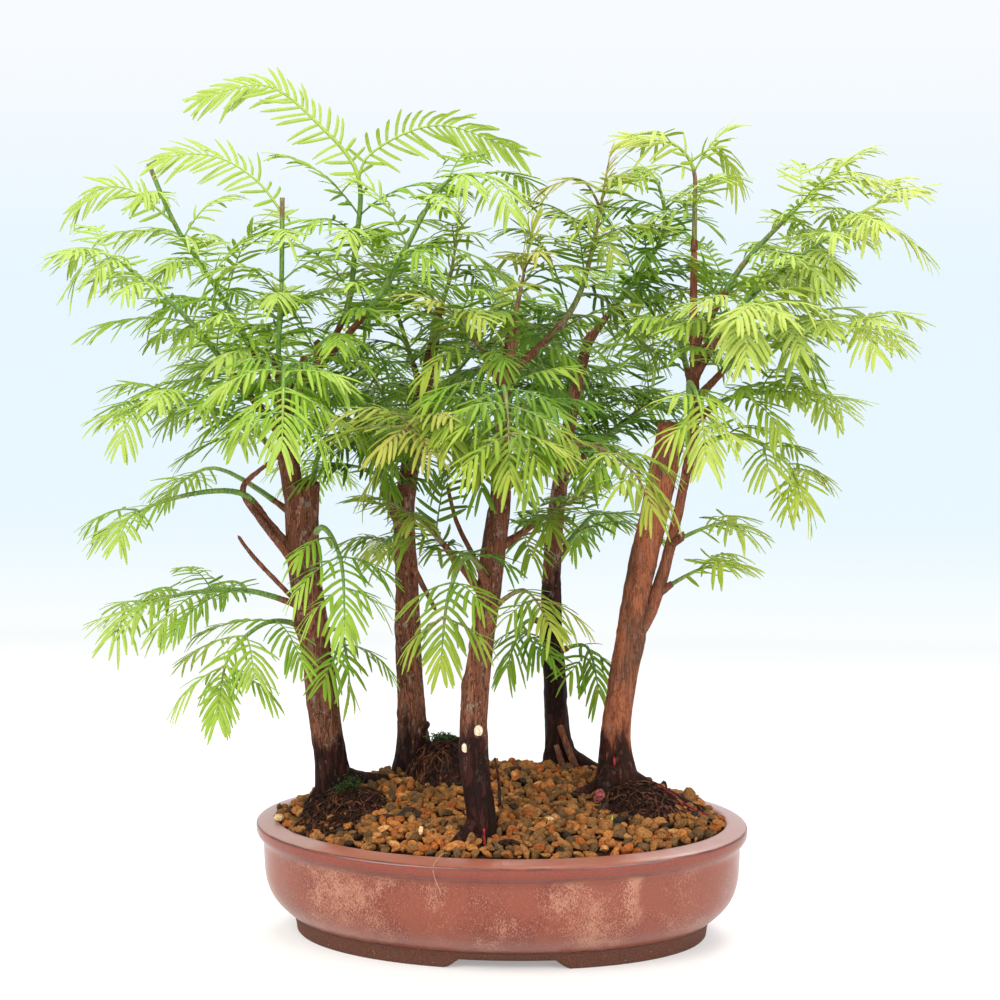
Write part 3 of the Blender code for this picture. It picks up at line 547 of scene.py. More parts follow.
def ballTemplate(level):
    # an icosphere's points and triangles
    mesh = bpy.data.meshes.new("ball")
    ball = bmesh.new()
    bmesh.ops.create_icosphere(ball, subdivisions=level, radius=1)
    ball.to_mesh(mesh)
    ball.free()
    points = np.array([vertex.co[:] for vertex in mesh.vertices])
    tris = np.array([face.vertices[:] for face in mesh.polygons])
    bpy.data.meshes.remove(mesh)
    return points, tris


def brokenStones(draw, places, sizes, level, sharp=1.0):
    # balls cut by planes at drawn distances, then stretched and turned: worn angular grit; sharp is how much
    # of each cut is kept
    points, tris = ballTemplate(level)
    count = len(places)
    planes = unit(draw.normal(size=(count, soilSet["cuts"], 3)))
    reach = draw.uniform(*soilSet["cutAt"], (count, soilSet["cuts"]))
    facing = np.einsum("pi,cki->cpk", points, planes)
    # a direction that hardly faces a plane is never cut by it
    least, far = 0.05, 9
    cut = np.where(facing > least, reach[:, None] / np.maximum(facing, least), far).min(axis=-1)
    cut = np.minimum(cut, 1) * sharp + (1 - sharp)
    stretch = draw.uniform(*soilSet["stretch"], (count, 3))
    body = points[None] * cut[..., None] * stretch[:, None] * sizes[:, None, None]
    tip = unit(draw.normal(size=(count, 3)) * (0.35, 0.35, 1))
    first = unit(np.cross(tip, draw.normal(size=(count, 3))))
    frames = np.stack([first, np.cross(tip, first), tip], 1)
    return np.einsum("cpi,cij->cpj", body, frames) + places[:, None], tris


def clearOfTrunks(x, y, keep):
    # whether a spot on the mound lies outside every trunk's base
    clear = np.ones(np.shape(x), bool)
    for name in trees:
        midX, midY, _, radius = baseOf(name)
        clear &= np.hypot(x - midX, y - midY) > radius * keep
    return clear


def makeStones(settings):
    # one stone at each point of a jittered triangular grid, and chips between them
    draw = drawFor("stones")
    half = np.array(traySet["half"]) - settings["inset"] - settings["margin"]
    middle, step, clear = traySet["middle"], settings["stoneStep"], settings["clear"]
    rows, columns = np.mgrid[-24:25, -32:33]
    x = (columns + 0.5 * (rows % 2)).ravel() * step
    y = rows.ravel() * step * math.sin(math.radians(60))
    jitter = settings["jitter"]
    x, y = x + draw.uniform(-jitter, jitter, x.shape), y + draw.uniform(-jitter, jitter, y.shape)
    # at the left end some lie on the lip
    spill = 1 + settings["spill"] * smoothStep(-x, 60, 90)
    kept = (np.hypot(x / half[0], y / half[1]) < spill) & clearOfTrunks(x + middle, y, clear["stones"])
    x, y = x[kept] + middle, y[kept]
    sizes = draw.uniform(*settings["stoneSize"], len(x))
    share, factor = settings["large"]
    sizes = np.where(draw.random(len(x)) < share, sizes * factor, sizes)
    lift = draw.uniform(*settings["stoneLift"], len(x))
    outside = smoothStep(np.hypot((x - middle) / half[0], y / half[1]), 1, 1.03)
    lift = lift * (1 - outside) + settings["spillLift"] * outside
    shape = Shape()
    addStones(shape, draw, np.stack([x, y, soilHeight(x, y) + lift], -1), sizes, 2)
    spots, size = zip(*settings["paleStones"])
    points, tris = brokenStones(draw, planted(spots), np.array(size), 2, settings["paleSharp"])
    shape.add(points, [], tris, settings["paleColour"])
    around, out = draw.uniform(0, turn, settings["chipCount"]), np.sqrt(draw.random(settings["chipCount"]))
    x, y = middle + out * half[0] * np.cos(around), out * half[1] * np.sin(around)
    kept = clearOfTrunks(x, y, clear["chips"])
    x, y = x[kept], y[kept]
    places = np.stack([x, y, soilHeight(x, y) + draw.uniform(*settings["chipLift"], len(x))], -1)
    addStones(shape, draw, places, draw.uniform(*settings["chipSize"], len(x)), 1)
    return shape.build("gritStones", [gritFinish()], ())


def addStones(shape, draw, places, sizes, level):
    # stones that each draw one of the listed colours, a little lighter or darker
    points, tris = brokenStones(draw, places, sizes, level)
    colours, shares = zip(*soilSet["stoneColours"])
    shares = np.array(shares) / sum(shares)
    index = draw.choice(len(colours), len(places), p=shares)
    tint = np.array(colours)[index] * draw.uniform(0.75, 1.25, (len(places), 1))
    tint = np.concatenate([tint, np.ones((len(places), 1))], 1)[:, None]
    shape.add(points, [], tris, np.broadcast_to(tint, (*points.shape[:2], 4)))


@cache
def gritFinish():
    # each stone has its own colour, mottled and dusty, with a fine sandy bump
    make = Maker("looseGrit")
    mottle = make.noise(0.9, (1, 1, 1), 3, 0.65)
    speck = make.noise(4.0, (1, 1, 1), 2, 0.6)
    deep = make.blend(1.0, make.tint(), soilSet["shadow"], "MULTIPLY")
    colour = make.blend(mottle.band(0.38, 0.6), deep, make.tint())
    colour = make.blend(speck.band(0.55, 0.72) * 0.22, colour, soilSet["dust"])
    normal = make.bump(mottle * 0.7 + speck * 0.3, 0.35, 0.6)
    return make.surface(Base_Color=colour, Roughness=0.66 + mottle * 0.3, Normal=normal,
                        Specular_IOR_Level=0.1)


# Trees: limbs as knots (x, y, z, radius), roots as (turn in degrees, length), and shoots as (limb, height
# where it leaves the limb, share that is wood, knots to the tip, forks as (share of its length, knots)).
trees = {
    "left": {
        "limbs": {
            "trunk": [(-76, 14, 38, 11), (-76, 14, 58, 11.5), (-78, 14, 78, 8.4), (-85.6, 14, 144, 7.7),
                      (-91, 14, 186, 7.8), (-91, 13, 227, 8.6)],
            "leader": [(-92, 13, 196, 5), (-96, 12, 226, 5.2), (-98, 11, 252, 5), (-88, 10, 280, 5)],
        },
        "roots": [(20, 26), (215, 9)],
        "shoots": [
            ("leader", 272, 0.2, [(-69, 10, 308), (-63, 10, 342), (-61, 10, 378), (-80, 10, 403),
                                  (-106, 9, 422), (-138, 6, 415)],
             [(0.53, [(-56, 10, 388), (-35, 9, 400), (-14, 8, 402), (17, 6, 390)])]),
            ("leader", 264, 0.1, [(-100, -4, 290), (-98, -6, 325), (-97, -6, 368)],
             [(0.93, [(-108, -6, 375), (-124, -6, 386), (-141, -8, 389), (-156, -10, 386)])]),
            ("leader", 276, 0.3, [(-55, -8, 314), (-39, -10, 340), (-19, -12, 374), (2, -14, 379),
                                  (20, -15, 367)]),
            ("leader", 258, 0.3, [(-131, 28, 317), (-153, 30, 351), (-167, 30, 384)],
             [(0.78, [(-176, 28, 371), (-192, 27, 371), (-203, 26, 362)])]),
            ("leader", 246, 0.3, [(-141, -16, 308), (-168, -20, 333), (-184, -24, 342), (-198, -27, 326)]),
            ("leader", 234, 0.2, [(-118, -8, 258), (-150, -26, 272), (-184, -34, 264)]),
            ("trunk", 184, 0.35, [(-107, 6, 206), (-118, 0, 221), (-136, -8, 224), (-161, -18, 219),
                                  (-186, -26, 206)]),
            ("trunk", 160, 0.15, [(-120, 18, 169), (-155, 22, 166), (-196, 24, 153)]),
            ("trunk", 150, 0.2, [(-106, -16, 160), (-124, -32, 146), (-128, -44, 122)]),
            ("leader", 250, 0.2, [(-94, -40, 288), (-90, -88, 284), (-88, -120, 260)]),
            ("trunk", 186, 0.3, [(-78, -30, 210), (-66, -68, 200), (-63, -92, 172)]),
            ("trunk", 146, 0.1, [(-72, 6, 150), (-67, 2, 122)]),
            ("leader", 240, 0.2, [(-112, 56, 276), (-126, 96, 288), (-132, 126, 274)]),
            ("trunk", 200, 0.2, [(-88, 62, 226), (-92, 106, 222), (-96, 132, 204)]),
            ("trunk", 206, 0.2, [(-140, 60, 226), (-172, 84, 206)]),
        ],
    },
    "back_left": {
        "limbs": {
            "trunk": [(-33, 40, 38, 13), (-33, 40, 62, 14.5), (-37, 40, 87, 8), (-39, 40, 138, 6.6),
                      (-40, 40, 181, 5.6), (-40.4, 40, 212, 5.1), (-27, 41, 285, 3), (-22, 42, 312, 2.1)],
        },
        "roots": [(330, 20)],
        "shoots": [
            ("trunk", 308, 0.1, [(-16, 45, 330), (-12, 46, 362)]),
            ("trunk", 236, 0.2, [(-58, 80, 272), (-72, 112, 292)]),
            ("trunk", 222, 0.2, [(-36, 92, 252), (-34, 124, 262), (-34, 141, 246)]),
            ("trunk", 196, 0.3, [(-57, 30, 240), (-60, 4, 258), (-62, -24, 252)]),
            ("trunk", 254, 0.2, [(-6, 82, 284), (6, 116, 288)]),
            ("trunk", 168, 0.2, [(-54, 84, 184), (-62, 118, 170)]),
            ("trunk", 266, 0.2, [(-46, 58, 312), (-56, 68, 344)]),
        ],
    },
    "front": {
        "limbs": {
            "trunk": [(0.5, -44, 38, 7.4), (0.3, -44, 62, 7), (-3.8, -44, 95, 7), (-4.3, -44, 118, 6.6),
                      (-2.1, -44, 142, 6), (2.2, -44, 172, 5.6), (5, -44, 198, 5.8), (8.6, -44, 226, 4.9),
                      (10, -44, 262, 3.8), (15, -44, 312, 2.3)],
        },
        "roots": [(215, 16)],
        "shoots": [
            ("trunk", 308, 0.1, [(20, -42, 334), (24, -40, 356)]),
            ("trunk", 246, 0.2, [(10, -88, 284), (12, -128, 276), (13, -152, 252)]),
            ("trunk", 238, 0.2, [(-24, -84, 268), (-44, -118, 260)]),
            ("trunk", 230, 0.2, [(42, -86, 258), (66, -122, 252), (75, -140, 236)]),
            ("trunk", 176, 0.45, [(-14, -52, 200), (-31, -60, 220), (-50, -76, 230)]),
            ("trunk", 182, 0.2, [(-6, -74, 204), (-15, -102, 190), (-18, -118, 162)]),
            ("trunk", 200, 0.4, [(27, -44, 215), (50, -58, 232)]),
            ("trunk", 170, 0.2, [(20, -76, 188), (32, -106, 176)]),
            ("trunk", 278, 0.2, [(-10, -66, 314), (-24, -84, 324)]),
            ("trunk", 286, 0.3, [(30, -30, 300), (45, -20, 318), (53, -20, 344), (61, -20, 388)],
             [(0.8, [(47, -20, 377), (28, -20, 372)])]),
        ],
    },
    "back_right": {
        "limbs": {
            "trunk": [(41, 46, 38, 7.4), (41, 47, 66, 8.4), (39, 50, 88, 6.4), (36, 55, 145, 5.3),
                      (36, 56, 178, 4.6), (40, 56, 219, 4), (47, 56, 262, 3.1), (55, 56, 298, 2.3)],
        },
        "roots": [(345, 26)],
        "shoots": [
            ("trunk", 292, 0.15, [(76, 58, 322), (92, 60, 346), (92, 60, 366), (84, 59, 380), (68, 58, 374)]),
            ("trunk", 238, 0.2, [(46, 98, 268), (50, 128, 272), (52, 141, 254)]),
            ("trunk", 222, 0.2, [(82, 92, 252), (112, 122, 260)]),
            ("trunk", 250, 0.2, [(22, 92, 296), (14, 112, 318)]),
            ("trunk", 142, 0.25, [(22, 50, 146), (12, 38, 124)]),
            ("trunk", 128, 0.15, [(54, 44, 134), (60, 32, 112)]),
            ("trunk", 176, 0.2, [(60, 96, 196), (74, 128, 186)]),
        ],
    },
    "right": {
        "limbs": {
            "trunk": [(71, 7, 38, 12.5), (70, 7, 61, 12.8), (68, 7, 81, 9), (67.5, 7, 100, 7.3),
                      (73, 7, 140, 6.8), (79, 7, 178, 6.9), (86.6, 6, 214, 6.8), (95, 5, 257, 7.3)],
            "leader": [(78, 7, 150, 4.2), (85, 6.5, 163, 3.9), (91, 5.5, 182, 3), (96.5, 4, 206, 2.5),
                       (101, 3, 230, 2.4), (105, 2, 258, 2.3), (104, 4, 310, 1.9), (104, 5, 345, 1.5)],
        },
        "roots": [(345, 34), (200, 20)],
        "shoots": [
            ("leader", 342, 0.05, [(104, 5, 362), (103, 4, 382), (92, 2, 394), (70, 0, 396)],
             [(0.55, [(115, 4, 392), (124, 4, 377)])]),
            ("leader", 294, 0.25, [(120, 14, 320), (136, 18, 342), (177, 22, 382), (190, 22, 391)],
             [(0.78, [(184, 12, 376), (199, 4, 374)])]),
            ("leader", 280, 0.25, [(130, 0, 318), (162, -8, 345), (189, -10, 364), (211, -10, 373)],
             [(0.7, [(192, -20, 356), (213, -24, 342)])]),
            ("leader", 268, 0.2, [(132, -20, 298), (165, -38, 310), (196, -48, 302)]),
            ("leader", 258, 0.2, [(123, 0, 270), (150, -5, 273), (182, -8, 270)]),
            ("leader", 238, 0.2, [(115, -6, 250), (131, -10, 251), (150, -14, 238), (161, -16, 216)]),
            ("leader", 196, 0.15, [(118, 4, 206), (136, 2, 203)]),
            ("leader", 170, 0.2, [(110, 0, 184), (130, -2, 186)]),
            ("leader", 298, 0.2, [(130, 56, 322), (158, 80, 322)]),
            ("leader", 268, 0.2, [(102, 60, 296), (110, 104, 302), (114, 130, 286)]),
            ("leader", 252, 0.2, [(98, -46, 282), (100, -86, 276), (101, -110, 254)]),
            ("leader", 288, 0.2, [(124, -44, 318), (138, -80, 316)]),
        ],
    },
}


# The knots above are laid out for a viewer a little to the right of the tray's middle line. They are turned
# by this many degrees, with the tray's middle at this X and its foot that much lower.
viewSet = {"turn": 4, "x": 9, "foot": 4.7}


def planted(knots):
    # x cos t - y sin t and x sin t + y cos t about the tray's middle, and z raised to the foot
    row = np.array(knots, float)
    angle = math.radians(viewSet["turn"])
    x, y = row[..., 0] - viewSet["x"], row[..., 1].copy()
    row[..., 0] = x * math.cos(angle) - y * math.sin(angle) + traySet["middle"]
    row[..., 1] = x * math.sin(angle) + y * math.cos(angle)
    row[..., 2] += viewSet["foot"]
    return row


def baseOf(name):
    # where a trunk stands: x, y, z and radius just above the soil
    return planted(trees[name]["limbs"]["trunk"])[1]


# Wood: bark relief, root flare, knobs, twigs and roots. A point of a root's arc is (share of its length,
# height over the soil, radius), and "twig" is a twig's radius at its foot and its tip.
woodSet = {
    "ringStep": 1.6, "sides": 56, "leaderSides": 32, "relief": 0.36,
    "twig": (2.2, 1.4), "twigClear": 3.5, "twigSides": 10, "rootSides": 14,
    "rootArc": [(0, 9, 4.2), (0.35, 3, 3.6), (0.7, 0.6, 2.6), (1, -2.5, 1.6)], "rootInside": 3,
    "flareAt": 68, "flareTall": 15, "knobRise": 0.22, "knobWide": 0.7, "nodeStep": 9.5, "knuckle": 0.12,
    "dampFade": 70, "rootStep": 1.2, "stub": {"step": 1.4, "sides": 12, "strength": 0.3}, "propDamp": 30,
    "twigDamp": -60, "twigRelief": 0.14,
    "bark": {"warm": (0.185, 0.075, 0.044), "pale": (0.33, 0.2, 0.14), "dark": (0.06, 0.028, 0.019),
             "base": (0.008, 0.004, 0.0035), "red": (0.4, 0.125, 0.06), "wet": (0.034, 0.0075, 0.0075),
             "lichen": (0.3, 0.26, 0.21), "dry": (0.16, 0.12, 0.1), "vivid": (0.26, 0.02, 0.022),
             "young": ((0.16, 0.055, 0.03), (0.28, 0.12, 0.075)),
             "face": ((0.1, 0.055, 0.035), (0.26, 0.15, 0.09)),
             "callus": ((0.72, 0.52, 0.33), (0.9, 0.76, 0.58))},
}


def barkRelief(points, strength):
    # long flakes: noise drawn out along the trunk, with a step where one flake lies over the next
    drawn = points / np.array([2.6, 2.6, 15.0])
    flakes = smoothStep(valueNoise(drawn, 3) + 0.45 * valueNoise(drawn * 2.3, 4), -0.05, 0.12)
    cracks = np.abs(valueNoise(points / np.array([3.4, 3.4, 26.0]), 7))
    fine = layeredNoise(points / np.array([0.9, 0.9, 3.2]), 2, 11)
    return strength * (flakes * 0.9 - 1.1 * np.exp(-(cracks / 0.09) ** 2) + fine * 0.55)


def limbRings(line, step, sides, strength, flare=0.0, knobs=(), blunt=True):
    # radius along the limb, swollen by the root flare's lobes and by knobs, roughened by the bark
    reach = np.linspace(0, line.length, max(3, round(line.length / step)) + 1)
    spots = line.at(reach)[0]
    # the direction changes smoothly, so the rings don't kink at the knots
    kernel = np.ones(9) / 9
    padded = np.pad(spots, ((4, 4), (0, 0)), "edge")
    even = np.stack([np.convolve(column, kernel, "valid") for column in padded.T], -1)
    spots[4:-4] = even[4:-4]
    angle = turn * np.arange(sides) / sides
    left = (line.length - reach) / spots[-1, 3]
    # a cut end is bevelled over an eighth of its radius, and a grown one is rounded over five of its radii
    cap = 0.12 if blunt else 5.0
    radii = spots[:, 3] * np.sqrt(np.clip(1 - np.clip(1 - left / cap, 0, 0.985) ** 2, 0, 1))
    low = np.exp(-((spots[:, 2] - woodSet["flareAt"]) / woodSet["flareTall"]) ** 2)[:, None]
    lobes = 0.6 + np.cos(3 * angle + spots[0, 0])[None] + 0.4 * np.cos(5 * angle + 1.3)[None]
    swell = np.ones((len(spots), sides)) + flare * low * lobes
    for height, side, size in knobs:
        around = (angle - side + math.pi) % turn - math.pi
        near = np.exp(-((spots[:, 2] - height) / size) ** 2)[:, None]
        swell += near * np.exp(-(around / woodSet["knobWide"]) ** 2)[None] * woodSet["knobRise"]
    rings = tubeRings(spots[None, :, :3], radii[None], sides, swell[None])
    out = unit(rings - spots[None, :, None, :3])
    return rings + out * (barkRelief(rings, strength) * np.minimum(radii / 2.5, 1)[None, :, None])[..., None]


def addLimb(shape, rings, dampTop, young=0.0, red=0.0):
    # one limb, whose tint tells how damp, how young and how red it is, and where it is cut
    damp = np.clip(0.5 + (dampTop + viewSet["foot"] - rings[..., 2]) / woodSet["dampFade"], 0, 1)
    even = np.ones(damp.shape)
    addTubes(shape, rings, np.stack([damp, young * even, 0 * even, red * even], -1), cut=True)


def rootLine(base, degrees, length):
    # a surface root that lies half sunk on the mound and dives into it at its end
    angle = math.radians(degrees + viewSet["turn"])
    way = np.array([math.cos(angle), math.sin(angle)])
    knots, inside = [], woodSet["rootInside"]
    for share, lift, radius in woodSet["rootArc"]:
        x, y = np.array(base[:2]) + way * (inside + share * (base[3] + length - inside))
        knots.append((x, y, float(soilHeight(x, y)) + lift, radius))
    return Line(knots)


def shootPlan(name, tree):
    # every shoot of a tree: its line, how much of it is wood, and its forks
    limbs = {key: Line(planted(knots)) for key, knots in tree["limbs"].items()}
    plan = []
    for number, (limb, height, wood, knots, *forks) in enumerate(tree["shoots"], 1):
        start = limbs[limb].atHeight(height + viewSet["foot"])
        line = Line([start[:3], *planted(knots)])
        bare = max(line.length * wood, start[3] + woodSet["twigClear"])
        forks = [Line([line.at(line.length * share)[0], *planted(tips)])
                 for share, tips in (forks[0] if forks else [])]
        plan.append({"node": f"leafy_shoot_{name}_{number}", "key": f"{name}_{number}", "line": line,
                     "wood": bare, "limb": start[3], "forks": forks})
    return limbs, plan


# What is particular to each trunk: (height, side, size) of its knobs, how high the damp dark base reaches
# (on back_right also painted shade), how far its foot flares, how red its bark is, which of its limbs end in a
# cut, its snapped stubs and the props at its foot as (knots, radius at foot and tip), its pale pruning scars
# as (centre, half width, half height) and which of its roots is bright red.
trunkMarks = {
    "left": {"knobs": [(118, 4.2, 5), (158, 3.4, 6), (196, 1.2, 9), (204, 5.2, 6)], "damp": 92, "flare": 0.06,
             "red": 0.1, "scars": [], "cut": ["trunk", "leader"], "props": [],
             "stubs": [([(-97, 11, 262), (-101, 10, 278), (-103, 10, 291)], (2.6, 2.2)),
                       ([(-86, 10, 272), (-81.5, 9, 284), (-81.7, 8, 298)], (2.8, 1.9)),
                       ([(-92, 10, 276), (-88, 6, 290)], (2.3, 1.8)),
                       ([(-92, 2, 182), (-100, 3, 193), (-113, 2, 211), (-120.5, 0, 224), (-115, -1, 230),
                         (-109.7, -2, 234.6), (-98.4, -4, 243.4)], (2.0, 0.9)),
                       ([(-87, 6, 158), (-93.4, 6, 165), (-114.8, 3, 189), (-122.4, 1, 200.5)], (1.6, 0.8))]},
    "back_left": {"knobs": [(104, 2.2, 4), (150, 4.0, 5)], "damp": 96, "flare": 0.16, "red": 0.05, "cut": [],
                  "scars": [], "props": [],
                  "stubs": [([(-40, 34, 196), (-46, 30, 206), (-52, 28, 222)], (2.3, 1.6)),
                            ([(-36, 34, 178), (-29, 26, 166), (-24, 20, 158)], (1.5, 1.0)),
                            ([(-33, 36, 90), (-30, 33, 94), (-29, 32, 97)], (2.2, 1.5))]},
    "front": {"knobs": [(112, 5.2, 4), (140, 3.6, 4), (172, 4.4, 5)], "damp": 112, "flare": 0.03, "red": 0.1,
              "cut": [], "props": [],
              "stubs": [([(9, -44, 234), (18, -48, 246)], (2.0, 1.5)),
                        ([(0, -40, 190), (-12, -34, 212), (-17, -32, 232)], (1.4, 0.8))],
              "scars": [((-2.0, -50.3, 113.6), 2.3, 2.9), ((-8.2, -49.6, 105), 1.9, 2.5)]},
    # back_right's dark base reaches high: damp at its foot, and above that painted shade under the crowns
    "back_right": {"knobs": [(96, 4.8, 5), (128, 2.6, 4)], "damp": 176, "flare": 0.2, "red": 0.0, "cut": [],
                   "stubs": [], "scars": [],
                   "props": [([(40, 43, 92), (44.5, 41, 79), (50.5, 38, 66)], (1.6, 1.9)),
                             ([(38, 41, 82), (40.4, 39, 75), (42.8, 37.5, 67)], (1.3, 1.9))]},
    "right": {"knobs": [(150, 5.9, 9), (120, 4.4, 4), (214, 4.4, 4)], "damp": 92, "flare": 0.16, "red": 0.85,
              "cut": ["trunk"], "scars": [], "props": [], "redRoot": 0,
              "stubs": [([(66, 4.5, 88), (63.5, 0.5, 76), (61, -6, 66), (60, -9, 56)], (4.6, 4.2)),
                        ([(94, 3, 196), (98.5, -1, 200), (100, -2, 203)], (1.6, 1.2)),
                        ([(101, 1, 232), (105, -2, 236)], (1.4, 1.1))]},
}


def taperedLine(knots, radii):
    # a line through knots of the viewer's layout whose radius runs evenly from the first value to the second
    return Line([(*knot, radius) for knot, radius in zip(planted(knots), np.linspace(*radii, len(knots)))])


def makeWood(name, tree, limbs, plan):
    # trunk, leader, roots, twigs, stubs, props and scars of one tree
    marks = trunkMarks[name]
    shape = Shape()
    strength, red = woodSet["relief"], marks["red"]
    rings = limbRings(limbs["trunk"], woodSet["ringStep"], woodSet["sides"], strength, marks["flare"],
                      marks["knobs"], "trunk" in marks["cut"])
    addLimb(shape, rings, marks["damp"], 0, red)
    if "leader" in limbs:
        rings = limbRings(limbs["leader"], woodSet["ringStep"], woodSet["leaderSides"], strength * 0.45,
                          blunt="leader" in marks["cut"])
        addLimb(shape, rings, marks["damp"], 0.5, red)
    for number, (degrees, length) in enumerate(tree["roots"]):
        line = rootLine(baseOf(name), degrees, length)
        rings = limbRings(line, woodSet["rootStep"], woodSet["rootSides"], strength * 0.7)
        addLimb(shape, rings, marks["damp"], 0.2, 1.0 if number == marks.get("redRoot") else red)
    for shoot in plan:
        addTwig(shape, shoot)
    for rows, dampTop in ((marks["stubs"], marks["damp"]), (marks["props"], woodSet["propDamp"])):
        for knots, radii in rows:
            addLimb(shape, limbRings(taperedLine(knots, radii), **woodSet["stub"]), dampTop, 0.35, 0.3)
    for centre, wide, tall in marks["scars"]:
        # a small pale callus where a branch was cut away
        addLump(shape, planted([centre])[0], (wide, wide * 0.55, tall), 0.14, 1.7, (0, 0, 0.6, 0))
    piece = shape.build("wood" + titled(name), [barkFinish()])
    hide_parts("trunk_" + name)
    finishPiece(piece)


def addTwig(shape, shoot):
    # the woody part of a shoot, with a collar where it leaves its limb and a knuckle at each node
    reach = np.linspace(0, shoot["wood"], max(6, round(shoot["wood"] / 2)) + 1)
    spots = shoot["line"].at(reach)[0]
    share = reach / shoot["wood"]
    foot = min(woodSet["twig"][0], shoot["limb"])
    radii = foot + (min(woodSet["twig"][1], foot) - foot) * share
    knuckles = 1 + woodSet["knuckle"] * np.cos(reach / woodSet["nodeStep"] * turn) ** 8
    collar = min(1.3, 0.3 * shoot["limb"]) * np.exp(-reach / 4)
    rings = tubeRings(spots[None], (radii * knuckles + collar)[None], woodSet["twigSides"])
    rings = rings + unit(rings - spots[None, :, None]) * barkRelief(rings, woodSet["twigRelief"])[..., None]
    addLimb(shape, rings, woodSet["twigDamp"], 1.0)


def addLump(shape, centre, size, rough, scale, tint):
    # a ball stretched to a half size along each axis and roughened by noise
    points, tris = ballTemplate(3)
    body = points * size * (1 + rough * layeredNoise(points * scale + size[0], 2)[:, None]) + centre
    shape.add(body[None], [], tris, tint)


@cache
def barkFinish():
    # grey-brown flakes over red-brown wood, near black and wet towards the soil, smoother and redder on young
    # wood, dull brown on cut faces and cream on the calluses
    colours = woodSet["bark"]
    make = Maker("redwoodBark")
    damp, young, cut = make.channels()
    redness = make.tint("Alpha")
    long = make.noise(0.42, (1, 1, 0.16), 4, 0.6, 0.3)
    broad = make.noise(0.07, (1, 1, 0.45), 3, 0.5)
    thread = make.noise(1.5, (1, 1, 0.1), 3, 0.6)
    fleck = make.noise(0.85, (1, 1, 0.7), 3, 0.7)
    scale = make.noise(0.3, (1, 1, 0.6), 4, 0.7)
    colour = make.blend((long.band(0.36, 0.58) + redness * 0.4).clamp(), colours["dark"], colours["warm"])
    colour = make.blend(thread.band(0.5, 0.68) * 0.42, colour, colours["pale"])
    colour = make.blend((broad.band(0.34, 0.56) * (0.2 + redness)).clamp() * 0.8, colour, colours["red"])
    colour = make.blend(scale.band(0.55, 0.63) * 0.6 * (1 - redness * 0.8), colour, colours["lichen"])
    colour = make.blend(fleck.band(0.62, 0.7) * 0.7, colour, colours["base"])
    crack = abs(long + (thread - 0.5) * 0.3 - 0.5).band(0.035, 0.008)
    colour = make.blend(crack * (0.75 - redness * 0.4), colour, colours["base"])
    smooth = make.blend(thread.band(0.45, 0.62), *colours["young"])
    colour = make.blend(young * 0.8, colour, smooth)
    wet = (damp + (broad - 0.5) * 1.1 + (long - 0.5) * 0.7).band(0.42, 0.62)
    darkRed = make.blend(long.band(0.45, 0.62), colours["base"], colours["wet"])
    darkRed = make.blend(scale.band(0.58, 0.64) * 0.35 * damp.band(0.95, 0.6), darkRed, colours["dry"])
    colour = make.blend(wet * 0.94, colour, darkRed)
    vivid = (scale.band(0.6, 0.68) * wet * redness.band(0.6, 0.9) * damp.band(0.55, 0.8)).clamp()
    colour = make.blend(vivid * 0.8, colour, colours["vivid"])
    worn = make.noise(0.9).band(0.4, 0.6)
    face, callus = make.blend(worn, *colours["face"]), make.blend(worn, *colours["callus"])
    colour = make.blend(cut.band(0.55, 0.95), colour, face)
    colour = make.blend(cut.band(0.3, 0.5) * cut.band(0.85, 0.7), colour, callus)
    height = long * 0.8 + thread * 0.35 + fleck * 0.2 + scale * 0.3 - crack * 0.25
    normal = make.bump(height, 1.0, 0.9)
    return make.surface(Base_Color=colour, Roughness=(0.88 - wet * 0.36 + fleck * 0.1).clamp(),
                        Normal=normal, Specular_IOR_Level=0.08)


